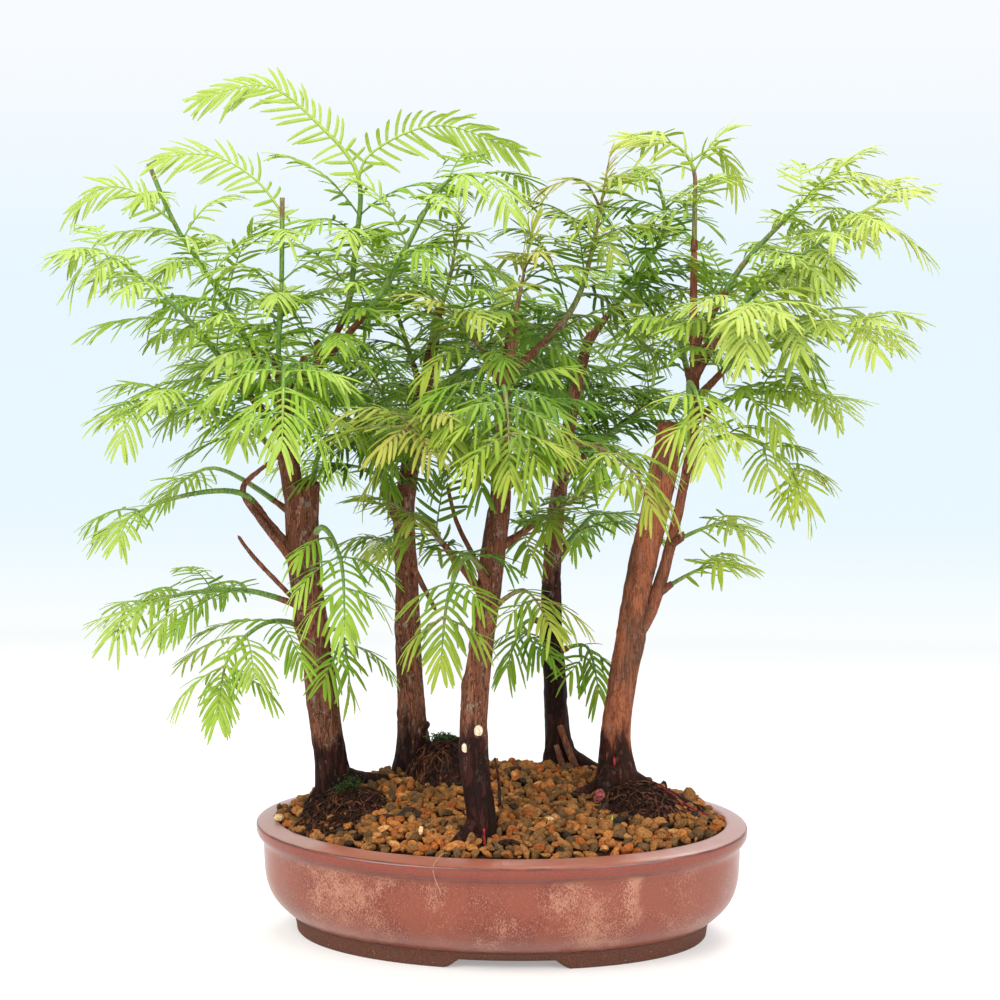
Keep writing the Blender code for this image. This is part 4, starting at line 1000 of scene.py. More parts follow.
# Foliage: the same shoots and side fronds as the solids, from the same draws, with every leaflet, and finer
# fronds between them, as many for each pair as "fuller" says for a tree, "extra" for single shoots and
# "sparse" below a height. For single shoots, "pairs" limits the pairs of fronds and "shorter" scales them,
# "leafyFor" is how long the leafy tip is, "facing" rolls it towards the viewer and "dim" darkens it.
# "bareTips" were pinched back, "brown" have brown stems and "leafyWood" bear fronds down to the trunk.
leafSet = {
    "stem": (1.6, 0.55), "rib": (0.5, 0.22), "tipLeafy": 40, "pairStep": 19, "pitch": 4.0,
    "roll": 18, "spread": (48, 66), "lift": (0.1, 0.4), "youngest": 30, "more": 7, "longest": 50,
    "droop": (0.5, 1.2), "leaflet": 15.5, "drawn": 0.8, "sweep": (12, 66), "halfWidth": 0.93, "thick": 0.2,
    "stations": [(0, 0.42), (0.1, 0.86), (0.42, 1.0), (0.8, 0.93), (1, 0.34)], "ridge": 0.16, "crowding": 0.8,
    "jitter": 0.35, "bend": (0.1, 0.8), "sickle": (0.1, 0.42), "uneven": (0.85, 1.15), "frondParts": 12,
    "tipPoints": 26, "forkPoints": 18, "archingTop": "left_1", "steep": 0.75,
    "finer": {"roll": 60, "spread": (38, 80), "lift": (-0.15, 0.4), "steepest": 0.55, "length": (24, 42),
              "droop": (0.4, 1.5), "leaflet": (0.8, 1.05)},
    "fuller": {"left": 0.95, "back_left": 3.1, "front": 2.3, "back_right": 3.3, "right": 1.15},
    "sparse": {"below": 232, "share": 0.25}, "crownTop": 368, "innerBare": 0.22,
    "pairs": {"left_7": 1, "right_7": 1, "right_8": 1, "left_11": 2, "left_15": 1, "left_14": 2, "front_6": 2,
              "front_8": 1, "back_left_6": 2, "back_right_6": 1, "right_11": 2},
    "extra": {"left_7": 0, "left_8": 0.3, "left_10": 0.7, "left_14": 0, "left_15": 0, "back_left_6": 0,
              "front_1": 3.4, "front_2": 1.8, "front_3": 2, "front_4": 1, "front_6": 0.5, "front_8": 0.5,
              "front_9": 3.8, "front_10": 3.2, "back_right_6": 0, "right_7": 0, "right_8": 0,
              "right_11": 0.4},
    "shorter": {"left_10": 0.8, "left_11": 0.7, "left_14": 0.6, "left_15": 0.55, "back_left_6": 0.65,
                "front_2": 0.85, "front_4": 0.65, "front_5": 0.8, "front_6": 0.6, "front_8": 0.65,
                "back_right_5": 0.8, "back_right_6": 0.6, "right_1": 0.65, "right_6": 0.65, "right_11": 0.55},
    "bareTips": ["left_2", "left_4"], "leafyFor": {"left_1": 100},
    "brown": ["right_1", "front_10", "front_1"], "leafyWood": ["front_1", "front_9", "front_10"],
    "facing": {"left_1": 1.2, "left_4": 0.7, "left_2": 0.8, "right_1": 0.6},
    "dim": {"front_2": 0.12, "front_4": 0.1, "front_6": 0.1, "front_8": 0.08, "left_11": 0.16,
            "left_10": 0.12, "left_14": 0.1, "left_15": 0.1, "left_7": 0.1},
}

# How light, bronze and yellow each tree's shoots are, and how much darker an older frond is. "vary" holds the
# ranges of a shoot's and a frond's draws. Light and shade are painted on the fronds: a frond is lighter out
# from the crown's middle and upwards, and darker in the middle and low down.
toneSet = {
    "light": {"left": 0.82, "back_left": 0.6, "front": 0.5, "back_right": 0.54, "right": 0.85},
    "darker": {"left": 0.24, "back_left": 0.3, "front": 0.27, "back_right": 0.32, "right": 0.22},
    "bronze": {"left": 0.0, "back_left": 0.42, "front": 0.78, "back_right": 0.08, "right": 0.1},
    "yellow": {"left": 0.0, "back_left": 0.2, "front": 0.3, "back_right": 0.15, "right": 0.6},
    "vary": {"bronze": (0.5, 1.25), "yellow": (0.6, 1.2), "frondLight": (-0.16, 0.16),
             "frondBronze": (0.3, 1.4)},
    "across": (200, 150), "outward": 0.26, "upward": 0.28,
}

# Four shades from the darkest, on old fronds and in the painted shade inside the crown, to the lightest at the
# tips and in the painted light on top, for green, yellow and bronze leaflets and for moss, and the other
# colours of leaflets and stems.
leafShades = {
    "green": [(0.07, 0.185, 0.009), (0.155, 0.325, 0.015), (0.33, 0.505, 0.043), (0.52, 0.645, 0.135)],
    "gold": [(0.11, 0.195, 0.009), (0.26, 0.35, 0.015), (0.49, 0.55, 0.048), (0.675, 0.685, 0.15)],
    "copper": [(0.11, 0.12, 0.02), (0.29, 0.25, 0.045), (0.5, 0.41, 0.085), (0.66, 0.56, 0.17)],
    "moss": [(0.012, 0.03, 0.006), (0.045, 0.1, 0.015), (0.13, 0.24, 0.03), (0.3, 0.5, 0.06)],
    "vein": (0.5, 0.66, 0.2), "bloom": (0.6, 0.75, 0.25), "through": (0.46, 0.63, 0.1, 1),
    "stem": ((0.08, 0.18, 0.025), (0.2, 0.33, 0.05)), "lightStem": (0.34, 0.48, 0.07),
    "brownStem": ((0.12, 0.045, 0.025), (0.28, 0.14, 0.065)),
}


def sideOf(way):
    # the sideways direction of a rib that runs this way, level with the ground where it can be
    side = np.cross(way, upward)
    steep = np.linalg.norm(side, axis=-1, keepdims=True) < 0.15
    return unit(np.where(steep, np.cross(np.array([1.0, 0, 0]), way), side))


def turned(vector, axis, angle):
    # the vector turned about a unit axis by an angle
    return (vector * math.cos(angle) + np.cross(axis, vector) * math.sin(angle)
            + axis * np.dot(axis, vector) * (1 - math.cos(angle)))


def frondPlan(shoot):
    # the side fronds in pairs from the tip inwards, drawn just as for the solids
    draw = random.Random(shoot["node"])
    line, plan = shoot["line"], []
    pairs = max(1, int((line.length - 0.5 * leafSet["tipLeafy"]) / leafSet["pairStep"]))
    for count in range(min(pairs, leafSet["pairs"].get(shoot["key"], pairs))):
        along = line.length - 0.55 * leafSet["tipLeafy"] - count * leafSet["pairStep"]
        root, way = line.at(max(along, 0.1))
        steep = abs(way[2]) > leafSet["steep"]
        for hand in (-1, 1):
            roll = 90 * count * steep + draw.uniform(-leafSet["roll"], leafSet["roll"])
            side = turned(sideOf(way), way, math.radians(roll))
            spread = math.radians(draw.uniform(*leafSet["spread"]))
            lift = upward * draw.uniform(*leafSet["lift"])
            out = way * math.cos(spread) + side * hand * math.sin(spread) + lift
            long = min(leafSet["youngest"] + leafSet["more"] * count, leafSet["longest"])
            plan.append({"root": root, "way": unit(out), "along": along, "count": count,
                         "length": long * draw.uniform(0.85, 1.15),
                         "droop": draw.uniform(*leafSet["droop"]),
                         "leaflet": leafSet["leaflet"] * draw.uniform(0.85, 1.1)})
    # the arching top bears leaflets alone
    if shoot["key"] == leafSet["archingTop"]:
        plan = [frond for frond in plan if frond["root"][2] <= leafSet["crownTop"]]
    return plan


def finerFronds(name, shoot):
    # shorter fronds between the pairs, turned further round the stem, with their own draws
    draw = random.Random("finer " + shoot["node"])
    line, finer = shoot["line"], leafSet["finer"]
    span = line.length - 0.5 * leafSet["tipLeafy"]
    fuller = leafSet["extra"].get(shoot["key"], leafSet["fuller"][name])
    if line.points[len(line.points) // 2:, 2].mean() < leafSet["sparse"]["below"]:
        fuller *= leafSet["sparse"]["share"]
    bare = 0 if shoot["key"] in leafSet["leafyWood"] else leafSet["innerBare"]
    plan = []
    for _ in range(round(fuller * span / leafSet["pairStep"])):
        along = span - span * (1 - bare) * draw.random()
        root, way = line.at(along)
        steep = abs(way[2]) > leafSet["steep"]
        roll = draw.uniform(0, 360) if steep else draw.uniform(-finer["roll"], finer["roll"])
        side = turned(sideOf(way), way, math.radians(roll)) * draw.choice((-1, 1))
        spread = math.radians(draw.uniform(*finer["spread"]))
        lift = upward * draw.uniform(*finer["lift"])
        out = unit(way * math.cos(spread) + side * math.sin(spread) + lift)
        out[2] = min(out[2], finer["steepest"])
        length, droop, leaflet = (draw.uniform(*finer[key]) for key in ("length", "droop", "leaflet"))
        if root[2] <= leafSet["crownTop"]:
            plan.append({"root": root, "way": unit(out), "along": along,
                         "count": (line.length - along) / leafSet["pairStep"],
                         "length": length, "droop": droop, "leaflet": leafSet["leaflet"] * leaflet})
    return plan


def frondPath(frond):
    # steps along the frond, each bent down a little further than the last by its droop
    parts = leafSet["frondParts"]
    step = frond["length"] / parts
    share = np.arange(parts)[:, None] / parts
    ways = unit(frond["way"] - upward * frond["droop"] * share)
    return np.vstack([frond["root"], frond["root"] + np.cumsum(ways * step, axis=0)])


def addLeafyRib(shape, path, radii, longest, tone, draw, first=0.0, roll=0.0):
    # a thin rib with leaflets in opposite pairs, swept further forward towards the tip; each leaflet's place,
    # sweep, rise, length and lightness are jittered
    reach = np.concatenate([[0], np.cumsum(np.linalg.norm(np.diff(path, axis=0), axis=1))])
    length = reach[-1]
    ribTint = (tone["light"], tone["bronze"], tone["yellow"], 0.2)
    addTubes(shape, tubeRings(path[None], radii[None], 4), ribTint, 1)
    pairs = max(4, round((length - first) / leafSet["pitch"]))
    share = np.repeat(((np.arange(pairs) + 0.5) / pairs) ** leafSet["crowding"], 2)
    hand = np.tile([-1.0, 1.0], pairs)
    jitter = draw.uniform(-leafSet["jitter"], leafSet["jitter"], (5, len(share)))
    along = np.clip(first + (share + jitter[0] * 0.5 / pairs) * (length - first), 0, length)
    foot, ahead, behind = (np.stack([np.interp(along + off, reach, column) for column in path.T], -1)
                           for off in (0, 1.5, -1.5))
    way = unit(ahead - behind)
    side = sideOf(way)
    side, over = rolled(side, np.cross(side, way), roll)
    low, high = leafSet["sweep"]
    sweep = np.radians(low + (high - low) * share + jitter[1] * 18)[:, None]
    rise = over * (0.1 + jitter[2] * 0.3)[:, None]
    out = unit(side * hand[:, None] * np.cos(sweep) + way * np.sin(sweep) + rise)
    profile = 0.7 + 0.5 * np.sin(np.pi * np.minimum(0.15 + 0.8 * share, 1))
    long = longest * leafSet["drawn"] * profile * (1 + jitter[3] * 0.3)
    tipward = tone["light"] + 0.4 * (share - 0.35)
    tint = np.stack([np.clip(tipward + jitter[4] * 0.2, 0, 1), np.full(len(share), tone["bronze"]),
                     np.full(len(share), tone["yellow"])], -1)
    return addLeaflets(shape, foot, out, over, way, long, draw, tint)


def rolled(side, over, angle):
    # two directions square to each other, turned together by an angle
    return side * np.cos(angle) + over * np.sin(angle), over * np.cos(angle) - side * np.sin(angle)


def addLeaflets(shape, foot, out, over, way, long, draw, tint):
    # each leaflet is a blunt strip of even width whose middle line arches down and forward by the square of
    # the way along it, with a left, a right and a raised middle point at each station
    count = len(foot)
    normal = unit(over - out * np.sum(over * out, -1, keepdims=True))
    roll = draw.uniform(-leafSet["jitter"], leafSet["jitter"], (count, 1))
    normal, across = rolled(normal, np.cross(normal, out), roll)
    t, wide = np.array(leafSet["stations"]).T
    stations, last = len(t), 3 * len(t) - 3
    t, wide, long = t[None, :, None], wide[None, :, None], long[:, None, None]
    ranges = (leafSet[key] for key in ("bend", "sickle", "uneven"))
    bend, sickle, uneven = (draw.uniform(*span, (count, 1, 1)) for span in ranges)
    down = over[:, None] * 0.5 + upward * 0.5
    middle = foot[:, None] + long * (out[:, None] * t + (way[:, None] * sickle - down * bend) * t ** 2)
    half = leafSet["halfWidth"] * uneven * wide
    left, right = middle - across[:, None] * half, middle + across[:, None] * half
    top = middle + normal[:, None] * (leafSet["thick"] + leafSet["ridge"] * half)
    points = np.stack([left, right, top], 2).reshape(count, -1, 3)
    tints = np.empty((count, stations, 3, 4))
    tints[..., :3] = tint[:, None, None]
    # the raised middle is told apart as the vein
    tints[..., 3] = np.array([0, 0, 1])
    ends = [[2, 1, 0], [last, last + 1, last + 2]]
    shape.add(points, gridQuads(stations, 3), ends, tints.reshape(count, -1, 4))
    return count


def paintedCrownLight(spot):
    # painted light and shade, by where a frond ends: lighter out from the crown's middle and higher up, darker
    # in the middle and low down
    away = math.hypot(*(spot[:2] / toneSet["across"]))
    return (toneSet["outward"] * (float(smoothStep(away, 0.3, 0.95)) - 0.5)
            + toneSet["upward"] * (float(smoothStep(spot[2], 240, 380)) - 0.5))


def makeShoot(name, shoot):
    # the green stem, its leafy tip, its forks and its side fronds
    line, wood, key = shoot["line"], shoot["wood"], shoot["key"]
    draw, vary = drawFor(shoot["node"]), toneSet["vary"]
    shape = Shape()
    light = toneSet["light"][name] - leafSet["dim"].get(key, 0)
    # the shoot's tone takes in painted light and shade from where its tip lies in the crown
    tone = {"light": light + paintedCrownLight(line.points[-1, :3]),
            "bronze": toneSet["bronze"][name] * draw.uniform(*vary["bronze"]),
            "yellow": toneSet["yellow"][name] * draw.uniform(*vary["yellow"])}
    leafy = max(line.length - leafSet["leafyFor"].get(key, leafSet["tipLeafy"]), wood + 6)
    reach = np.linspace(wood - 1, leafy, max(3, round((leafy - wood) / 4)) + 1)
    thick, thin = leafSet["stem"]
    thick = min(thick, 0.8 + 0.007 * line.length)
    radii = thick + (thin - thick) * (reach - wood) / (line.length - wood)
    stemTint = (0.35, 1.0 if key in leafSet["brown"] else tone["bronze"], tone["yellow"], 0.0)
    addTubes(shape, tubeRings(line.at(reach)[0][None], radii[None], 8), stemTint, 1)
    tipPoints, forkPoints = leafSet["tipPoints"], leafSet["forkPoints"]
    tip = line.at(np.linspace(leafy - 0.5, line.length, tipPoints))[0]
    facing = leafSet["facing"].get(key, 0.0)
    count = 0
    if key in leafSet["bareTips"]:
        # a stem that was pinched back ends bare, and brown at its very end
        left = np.linspace(line.length - leafy + 0.5, 0, tipPoints)[:, None]
        radii = np.full((1, tipPoints), radii[-1] * 1.25)
        tint = np.where(left < 9, (0.3, 1.0, 0, 0), (0.45, 0, 0, 0))
        addTubes(shape, tubeRings(tip[None], radii, 8), tint[None], 1)
    else:
        radii = np.linspace(radii[-1], leafSet["rib"][1], tipPoints)
        count = addLeafyRib(shape, tip, radii, leafSet["leaflet"], tone, draw, 0.0, facing)
    for fork in shoot["forks"]:
        path = fork.at(np.linspace(0, fork.length, forkPoints))[0]
        radii = np.linspace(0.7, leafSet["rib"][1], forkPoints)
        count += addLeafyRib(shape, path, radii, leafSet["leaflet"], tone, draw, 4, facing)
    for frond in frondPlan(shoot) + finerFronds(name, shoot):
        if frond["along"] < 0.3 * wood and key not in leafSet["leafyWood"]:
            continue
        age = min(frond["count"] / 4, 1)
        frond["length"] *= leafSet["shorter"].get(key, 1.0)
        path = frondPath(frond)
        # painted light and shade from where the frond ends, and darker with age
        ownLight = light + paintedCrownLight(path[-1]) - toneSet["darker"][name] * age
        own = {"light": ownLight + draw.uniform(*vary["frondLight"]),
               "bronze": tone["bronze"] * (1 - 0.5 * age) * draw.uniform(*vary["frondBronze"]),
               "yellow": tone["yellow"] * (1 - 0.8 * age)}
        radii = np.linspace(*leafSet["rib"], len(path))
        count += addLeafyRib(shape, path, radii, frond["leaflet"], own, draw, 3)
    piece = shape.build("leaves" + titled(key), [leafletFinish(), greenStemFinish()], (1,))
    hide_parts(shoot["node"])
    finishPiece(piece)
    return count


@cache
def leafletFinish():
    # dark on old fronds and in the painted shade inside the crown, bright yellow-green at the tips and in the
    # painted light on the crown's top and outside, bronze on new growth; light shines through
    make = Maker("leaflet")
    light, bronze, yellow = make.channels()
    vein = make.tint("Alpha").band(0.8, 0.98)
    mottle = make.noise(0.1, (1, 1, 1), 3, 0.6)
    fine = make.noise(3.0, (1, 1, 1), 2)
    level = (light + (mottle - 0.5) * 0.3).clamp()
    green, gold, copper = (make.shades(level, leafShades[kind]) for kind in ("green", "gold", "copper"))
    colour = make.blend((yellow * 0.9).clamp(), green, gold)
    flush = (bronze * (0.4 + level * 0.9) + (mottle - 0.5) * 0.6).clamp()
    colour = make.blend(flush * 0.8, colour, copper)
    colour = make.blend(vein * 0.25, colour, leafShades["vein"])
    colour = make.blend(fine.band(0.5, 0.8) * 0.08, colour, leafShades["bloom"])
    normal = make.bump(fine * 0.3 - vein * 0.6, 0.1, 0.5)
    blade = make.principled(Base_Color=colour, Roughness=0.5, Normal=normal, Specular_IOR_Level=0.2)
    glow = make.node("ShaderNodeBsdfTranslucent", {}, {"Color": leafShades["through"]})
    return make.finish(make.node("ShaderNodeMixShader", {}, [0.2 + level * 0.18, blade, glow]))


@cache
def greenStemFinish():
    # green stems with faint ridges, browner on bronze shoots
    make = Maker("greenStem")
    light, bronze, _ = make.channels()
    streak = make.noise(1.1, (1, 1, 0.25), 3, 0.6)
    patch = make.noise(0.06, (1, 1, 1), 2)
    green, brown = (make.blend(streak.band(0.4, 0.62), *leafShades[kind]) for kind in ("stem", "brownStem"))
    # ribs of light fronds turn a lighter green, with their youth and with the painted light on the crown
    green = make.blend(light.band(0.5, 0.95), green, leafShades["lightStem"])
    colour = make.blend((bronze * 0.9 + (patch - 0.53) * 2.2).clamp(), green, brown)
    normal = make.bump(streak, 0.25, 0.5)
    return make.surface(Base_Color=colour, Roughness=0.5, Normal=normal)


# Roots, moss and litter at the trunks' feet, in the viewer's layout. Each clod of matted root is (tree,
# offset, half size, rise, fine roots), each moss patch (centre, spread, blades) and each sore (centre, half
# size, paleness). Other roots are (knots, radii at both ends).
footSet = {
    "clods": [("left", (6, -22), (24, 20), 7, 230), ("left", (-1, -36), (21, 14), 2.5, 190),
              ("back_left", (14, -12), (23, 18), 19.5, 280), ("right", (8, -17), (25, 24), 8, 330),
              ("right", (38, -12), (13, 10), 1.0, 70), ("back_right", (4, -3), (11, 8), 5, 60),
              ("front", (0, -2), (9, 7), 2.5, 40)],
    "clodRings": 26, "clodAround": 64, "clodRough": 1.9,
    "moss": [((-67, -2, 72), (6, 3, 5), 330), ((-22, 25, 90.5), (6, 3, 1.5), 220),
             ((-73, -6, 70), (4, 2, 3), 120)],
    "bladeLong": (1.0, 2.6), "bladeThick": (0.2, 0.34), "bladeTaper": [1, 0.9, 0.6, 0.12],
    "fineRoot": {"parts": 11, "step": (0.5, 1.8), "thick": (0.18, 0.6), "turns": 0.35, "waves": 0.25},
    "redRoots": [([(79, 4, 60), (86, 1.5, 60), (92, -4, 60), (99, -5, 60), (105, -10, 55), (112.5, -12, 50)],
                  (0.9, 0.5)),
                 ([(0.8, -51.4, 65), (0.9, -52.8, 61), (1.2, -53.5, 57)], (0.6, 0.7))],
    "sores": [((58.9, -12.6, 67.5), (3.3, 1.8, 6.0), 0.95), ((66.4, -2.2, 85), (0.7, 0.7, 2.4), 0.2)],
    "threads": [([(-16.5, -62, 56), (-19.5, -67.5, 57), (-23.5, -73.8, 52), (-19.5, -74.8, 40)],
                 (0.24, 0.18))],
    "darkRoots": [([(-27, 24, 86.5), (-19, 23, 88.6), (-12, 21, 84.2), (-6, 17, 72)], (1.3, 1.0)),
                  ([(8.5, -46, 75), (8, -47, 88), (6, -46, 99)], (0.9, 0.5)),
                  ([(5, -56, 55), (10, -58, 60.5), (17, -58, 60), (21, -57, 55)], (1.2, 0.7))],
    "tints": {"redRoots": (0.6, 0.3, 1, 1), "darkRoots": (0.6, 0.5, 0, 1), "threads": (0, 1, 0, 1)},
    "fallen": [(59.5, -38, 57), (61, -38, 60), (63.5, -37, 64), (64, -36, 67)],
    "fallenRadii": [0.2, 0.45, 0.6, 0.65, 0.65, 0.65, 0.6, 0.5, 0.4, 0.15],
    "root": {"dark": ((0.01, 0.005, 0.004), (0.05, 0.02, 0.013)), "old": (0.24, 0.085, 0.042),
             "red": ((0.14, 0.012, 0.014), (0.42, 0.04, 0.045)), "sore": (0.34, 0.12, 0.115),
             "thread": (0.45, 0.25, 0.14)},
}


def clodPlace(clod):
    # the middle and the half size of a clod on the mound
    name, offset, half, rise, _ = clod
    x, y = planted(np.add(trees[name]["limbs"]["trunk"][1][:3], (*offset, 0)))[:2]
    return x, y, *half, rise


def clodHeight(clod, x, y):
    # soil + rise (1 - r^2)^1.1, r being how far out of the clod's ellipse the spot is
    midX, midY, wide, deep, rise = clodPlace(clod)
    out = np.hypot((x - midX) / wide, (y - midY) / deep)
    return soilHeight(x, y) + rise * np.maximum(1 - out ** 2, 0) ** 1.1 - 2.5 * smoothStep(out, 0.85, 1.1)


def makeRootMats(settings):
    # fine roots that creep over each clod, each a path of drawn turns, and a few stout red or dark roots
    draw = drawFor("rootMats")
    shape = Shape()
    inside = np.array(traySet["half"]) - soilSet["inset"] + 2
    root = settings["fineRoot"]
    parts = root["parts"]
    for clod in settings["clods"]:
        count = clod[-1]
        midX, midY, wide, deep, _ = clodPlace(clod)
        angle, out = draw.uniform(0, turn, (count, 1)), np.sqrt(draw.uniform(0.02, 1, (count, 1)))
        heading = draw.uniform(0, turn, (count, 1))
        heading = heading + np.cumsum(draw.normal(0, root["turns"], (count, parts)), axis=1)
        step = draw.uniform(*root["step"], (count, 1))
        x = midX + wide * out * np.cos(angle) + np.cumsum(step * np.cos(heading), axis=1)
        y = midY + deep * out * np.sin(angle) + np.cumsum(step * np.sin(heading), axis=1)
        # none creeps out over the lip
        out = np.hypot((x - traySet["middle"]) / inside[0], y / inside[1])
        x = traySet["middle"] + (x - traySet["middle"]) / np.maximum(out, 1)
        y = y / np.maximum(out, 1)
        z = clodHeight(clod, x, y) + 0.9 + np.cumsum(draw.normal(0, root["waves"], (count, parts)), axis=1)
        thick = draw.uniform(*root["thick"], (count, 1)) * np.linspace(1, 0.45, parts)
        age = draw.uniform(0, 1, (count, 1, 1)) * np.ones((1, parts, 1))
        tint = np.concatenate([1 - 0.5 * age, age, 0 * age, 0 * age + 1], -1)
        addTubes(shape, tubeRings(np.stack([x, y, z], -1), thick, 4), tint)
    for kind, tint in settings["tints"].items():
        for knots, radii in settings[kind]:
            line = taperedLine(knots, radii)
            spots = line.at(np.linspace(0, line.length, 20))[0]
            if kind == "redRoots":
                # these lie on the clods
                ground = [clodHeight(clod, spots[:, 0], spots[:, 1]) for clod in settings["clods"]]
                spots[:, 2] = np.maximum(spots[:, 2], np.max(ground, axis=0) + 1.4)
            addTubes(shape, tubeRings(spots[None, :, :3], spots[None, :, 3], 10), tint)
    for centre, size, pale in settings["sores"]:
        addLump(shape, planted([centre])[0], size, 0.15, 1.6, (0.6, pale, 1.0, 1))
    finishPiece(shape.build("fineRoots", [rootFinish()]))


def makeRootClods(settings):
    # each dark clod of matted root and soil is a dome roughened by noise
    shape = Shape()
    share = np.linspace(0.02, 1.1, settings["clodRings"])[:, None]
    angle = turn * np.arange(settings["clodAround"]) / settings["clodAround"]
    for clod in settings["clods"]:
        midX, midY, wide, deep, rise = clodPlace(clod)
        x, y = midX + wide * share * np.cos(angle), midY + deep * share * np.sin(angle)
        top = np.stack([x, y, clodHeight(clod, x, y)], -1)
        rough = layeredNoise(top / 3.4, 3, 5) * min(1, 0.35 + rise / 12)
        top[..., 2] += rough * settings["clodRough"]
        rings = np.concatenate([top, top[-1:] - (0, 0, 4)])
        addOval(shape, rings, [rings[0].mean(0), rings[-1].mean(0)], (1, 0, 0, 1))
    finishPiece(shape.build("rootClods", [rootFinish()]))


@cache
def rootFinish():
    # dark red-brown roots, a few of them bright red, a pale sore and a dry pale thread
    colours = footSet["root"]
    make = Maker("hairyRoot")
    damp, age, red = make.channels()
    mottle = make.noise(0.5, (1, 1, 1), 4, 0.65)
    colour = make.blend(mottle.band(0.38, 0.66), *colours["dark"])
    colour = make.blend(age.band(0.45, 1) * mottle.band(0.3, 0.6) * 0.8, colour, colours["old"])
    colour = make.blend(red * 0.92, colour, make.blend(mottle.band(0.4, 0.6), *colours["red"]))
    sore = (red * age).band(0.75, 0.9) * mottle.band(0.36, 0.6)
    colour = make.blend(sore, colour, colours["sore"])
    colour = make.blend((0.12 - damp).band(0, 0.06), colour, colours["thread"])
    normal = make.bump(mottle, 0.9, 0.8)
    return make.surface(Base_Color=colour, Roughness=0.55 + mottle * 0.3, Normal=normal,
                        Specular_IOR_Level=0.1)


def makeMoss(settings):
    # tufts of thin green blades on the damp side of two trunks, and one fallen leaflet
    draw = drawFor("moss")
    shape = Shape()
    share = np.linspace(0, 1, len(settings["bladeTaper"]))[None, :, None]
    for centre, size, count in settings["moss"]:
        foot = planted([centre])[0] + draw.normal(0, 0.55, (count, 3)) * size
        foot[:, 2] = np.maximum(foot[:, 2], soilHeight(foot[:, 0], foot[:, 1]) + 0.5)
        way = unit(draw.normal(0, 0.6, (count, 3)) + (0.2, -0.5, 1))
        long = draw.uniform(*settings["bladeLong"], (count, 1, 1))
        path = foot[:, None] + way[:, None] * share * long - upward * share ** 2 * long * 0.3
        radii = draw.uniform(*settings["bladeThick"], (count, 1)) * np.array(settings["bladeTaper"])
        # each blade a little lighter or darker at random, and darker at its foot: painted shade deep in the
        # tuft
        light = draw.uniform(0.0, 0.32, (count, 1, 1)) + 0.15 * share
        tint = np.concatenate([light, 0 * light, 0 * light, 0 * light], -1)
        addTubes(shape, tubeRings(path, radii, 3), tint)
    fallen, radii = Line(planted(settings["fallen"])), np.array([settings["fallenRadii"]])
    path = fallen.at(np.linspace(0, fallen.length, radii.size))[0][None]
    addTubes(shape, tubeRings(path, radii, 6), (1.0, 0, 0, 0))
    finishPiece(shape.build("moss", [mossFinish()]))


def mossFinish():
    # painted shade: darker deep in the tufts, at the blades' feet
    make = Maker("mossBlades")
    colour = make.shades(make.channels()[0], leafShades["moss"])
    normal = make.bump(make.noise(2.2), 0.3, 0.5)
    return make.surface(Base_Color=colour, Roughness=0.75, Normal=normal)


# The floor is a pale sweep: flat from "near" to "bend", then round by a quarter circle, then up to "top". Its
# colours change over the "fade" from the object's middle. Each light is a square soft box aimed at "target".
stageSet = {
    "near": -2600, "bend": 900, "radius": 900, "top": 3200, "half": 3200, "parts": (30, 24, 12), "across": 24,
    "fade": 2600, "target": (0, 0, 200), "sky": (0.92, 0.97, 1.0, 1), "skyStrength": 0.55,
    "lights": [{"place": (-1300, -1500, 1900), "power": 62, "size": 1.6, "colour": (1.0, 0.98, 0.95)},
               {"place": (1400, -1300, 1300), "power": 32, "size": 1.6, "colour": (0.96, 0.98, 1.0)},
               {"place": (200, 900, 1900), "power": 34, "size": 1.4, "colour": (1.0, 1.0, 1.0)}],
}


def makeStage(settings):
    # y and z run along the sweep, with x across it
    flat, bent, wall = settings["parts"]
    bend, radius, across = settings["bend"], settings["radius"], settings["across"]
    angle = np.linspace(0, math.pi / 2, bent)
    y = np.concatenate([np.linspace(settings["near"], bend, flat), bend + radius * np.sin(angle),
                        np.full(wall, bend + radius)])
    z = np.concatenate([np.zeros(flat), radius - radius * np.cos(angle),
                        np.linspace(radius, settings["top"], wall)])
    x = np.linspace(-settings["half"], settings["half"], across)
    points = np.stack(np.broadcast_arrays(x, y[:, None], z[:, None]), -1)
    shape = Shape()
    shape.add(points.reshape(1, -1, 3), gridQuads(len(y), across, False), [], (1, 1, 1, 1))
    floor = shape.build("floor", [floorFinish()])


def floorFinish():
    # lit by its own glow where it rises behind the object: white near it, faint blue, then white again
    make = Maker("paleFloor")
    _, y, z = make.axes()
    along = ((y + z) / stageSet["fade"]).clamp()
    colour = make.ramp(along, [(0.04, (0.66, 0.645, 0.62)), (0.18, (0.12, 0.12, 0.12)),
                               (0.26, (0.0, 0.0, 0.0))])
    glow = make.ramp(along, [(0.02, (0.3, 0.3, 0.3)), (0.18, (0.86, 0.87, 0.85)),
                             (0.28, (0.94, 0.97, 0.98)), (0.44, (0.81, 0.925, 1.0)),
                             (0.68, (0.8, 0.92, 1.0)), (0.86, (0.93, 0.956, 1.0))])
    return make.surface(Base_Color=colour, Roughness=0.9, Specular_IOR_Level=0.1,
                        Emission_Color=glow, Emission_Strength=1.0)


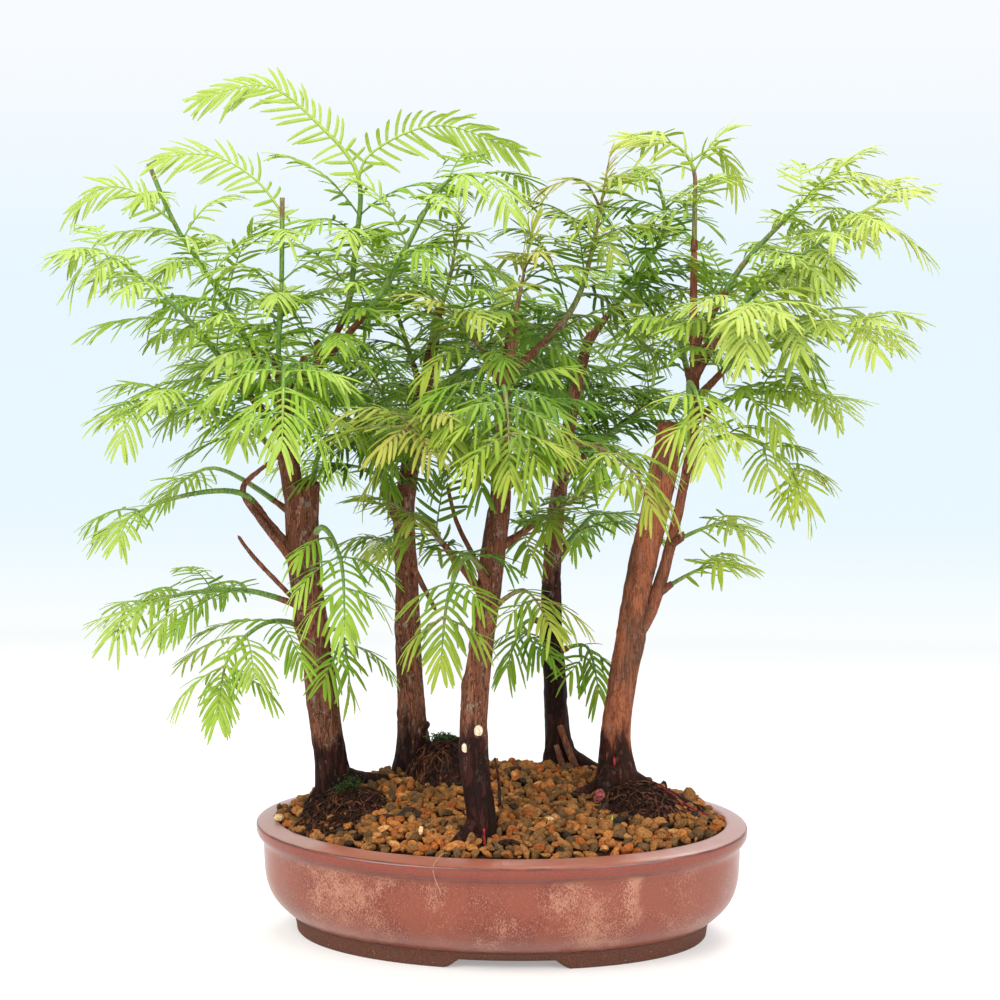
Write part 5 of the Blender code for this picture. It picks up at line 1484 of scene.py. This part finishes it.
def makeLights(settings):
    # the soft boxes and the even light of the sky
    for number, light in enumerate(settings["lights"]):
        data = bpy.data.lights.new(f"softBox{number}", "AREA")
        data.energy, data.size, data.color = light["power"], light["size"], light["colour"]
        lamp = bpy.data.objects.new(f"softBox{number}", data)
        place = np.array(light["place"], float)
        away = unit(place - settings["target"])
        lamp.location = place * mm
        lamp.rotation_euler = (math.acos(away[2]), 0, math.atan2(away[1], away[0]) + math.pi / 2)
        bpy.context.scene.collection.objects.link(lamp)
    world = bpy.data.worlds.new("paleSky")
    world.use_nodes = True
    background = world.node_tree.nodes["Background"]
    background.inputs["Color"].default_value = settings["sky"]
    background.inputs["Strength"].default_value = settings["skyStrength"]
    bpy.context.scene.world = world
    bpy.context.scene.view_settings.view_transform = "Standard"


def drainFinish():
    # near-black plastic, faintly mottled
    make = Maker("meshPlastic")
    grain = make.noise(1.2, (1, 1, 1), 3)
    colour = make.blend(grain.band(0.4, 0.6), *traySet["mesh"])
    normal = make.bump(grain, 0.1, 0.4)
    return make.surface(Base_Color=colour, Roughness=0.45 + grain * 0.2, Normal=normal)


def finishPiece(piece):
    # nothing on the object moves, so every piece rides on its one body
    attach(piece, "root")


def main():
    makeCamera(cameraSet)
    makeStage(stageSet)
    makeLights(stageSet)
    print("stage, camera and lights ready")
    tray = makeTray(traySet)
    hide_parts("pot")
    finishPiece(tray)
    drain = drainFinish()
    for side in ("left", "right"):
        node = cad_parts["drain_mesh_" + side]
        node.data.materials.clear()
        node.data.materials.append(drain)
    print("tray ready")
    bed = makeBed(soilSet)
    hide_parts("soil")
    finishPiece(bed)
    finishPiece(makeStones(soilSet))
    print("soil ready")
    total = 0
    for name, tree in trees.items():
        limbs, plan = shootPlan(name, tree)
        makeWood(name, tree, limbs, plan)
        leaflets = sum(makeShoot(name, shoot) for shoot in plan)
        total += leaflets
        print(name, "tree ready with", leaflets, "leaflets")
    makeRootClods(footSet)
    makeRootMats(footSet)
    makeMoss(footSet)
    print("roots and moss ready;", total, "leaflets in all")


main()
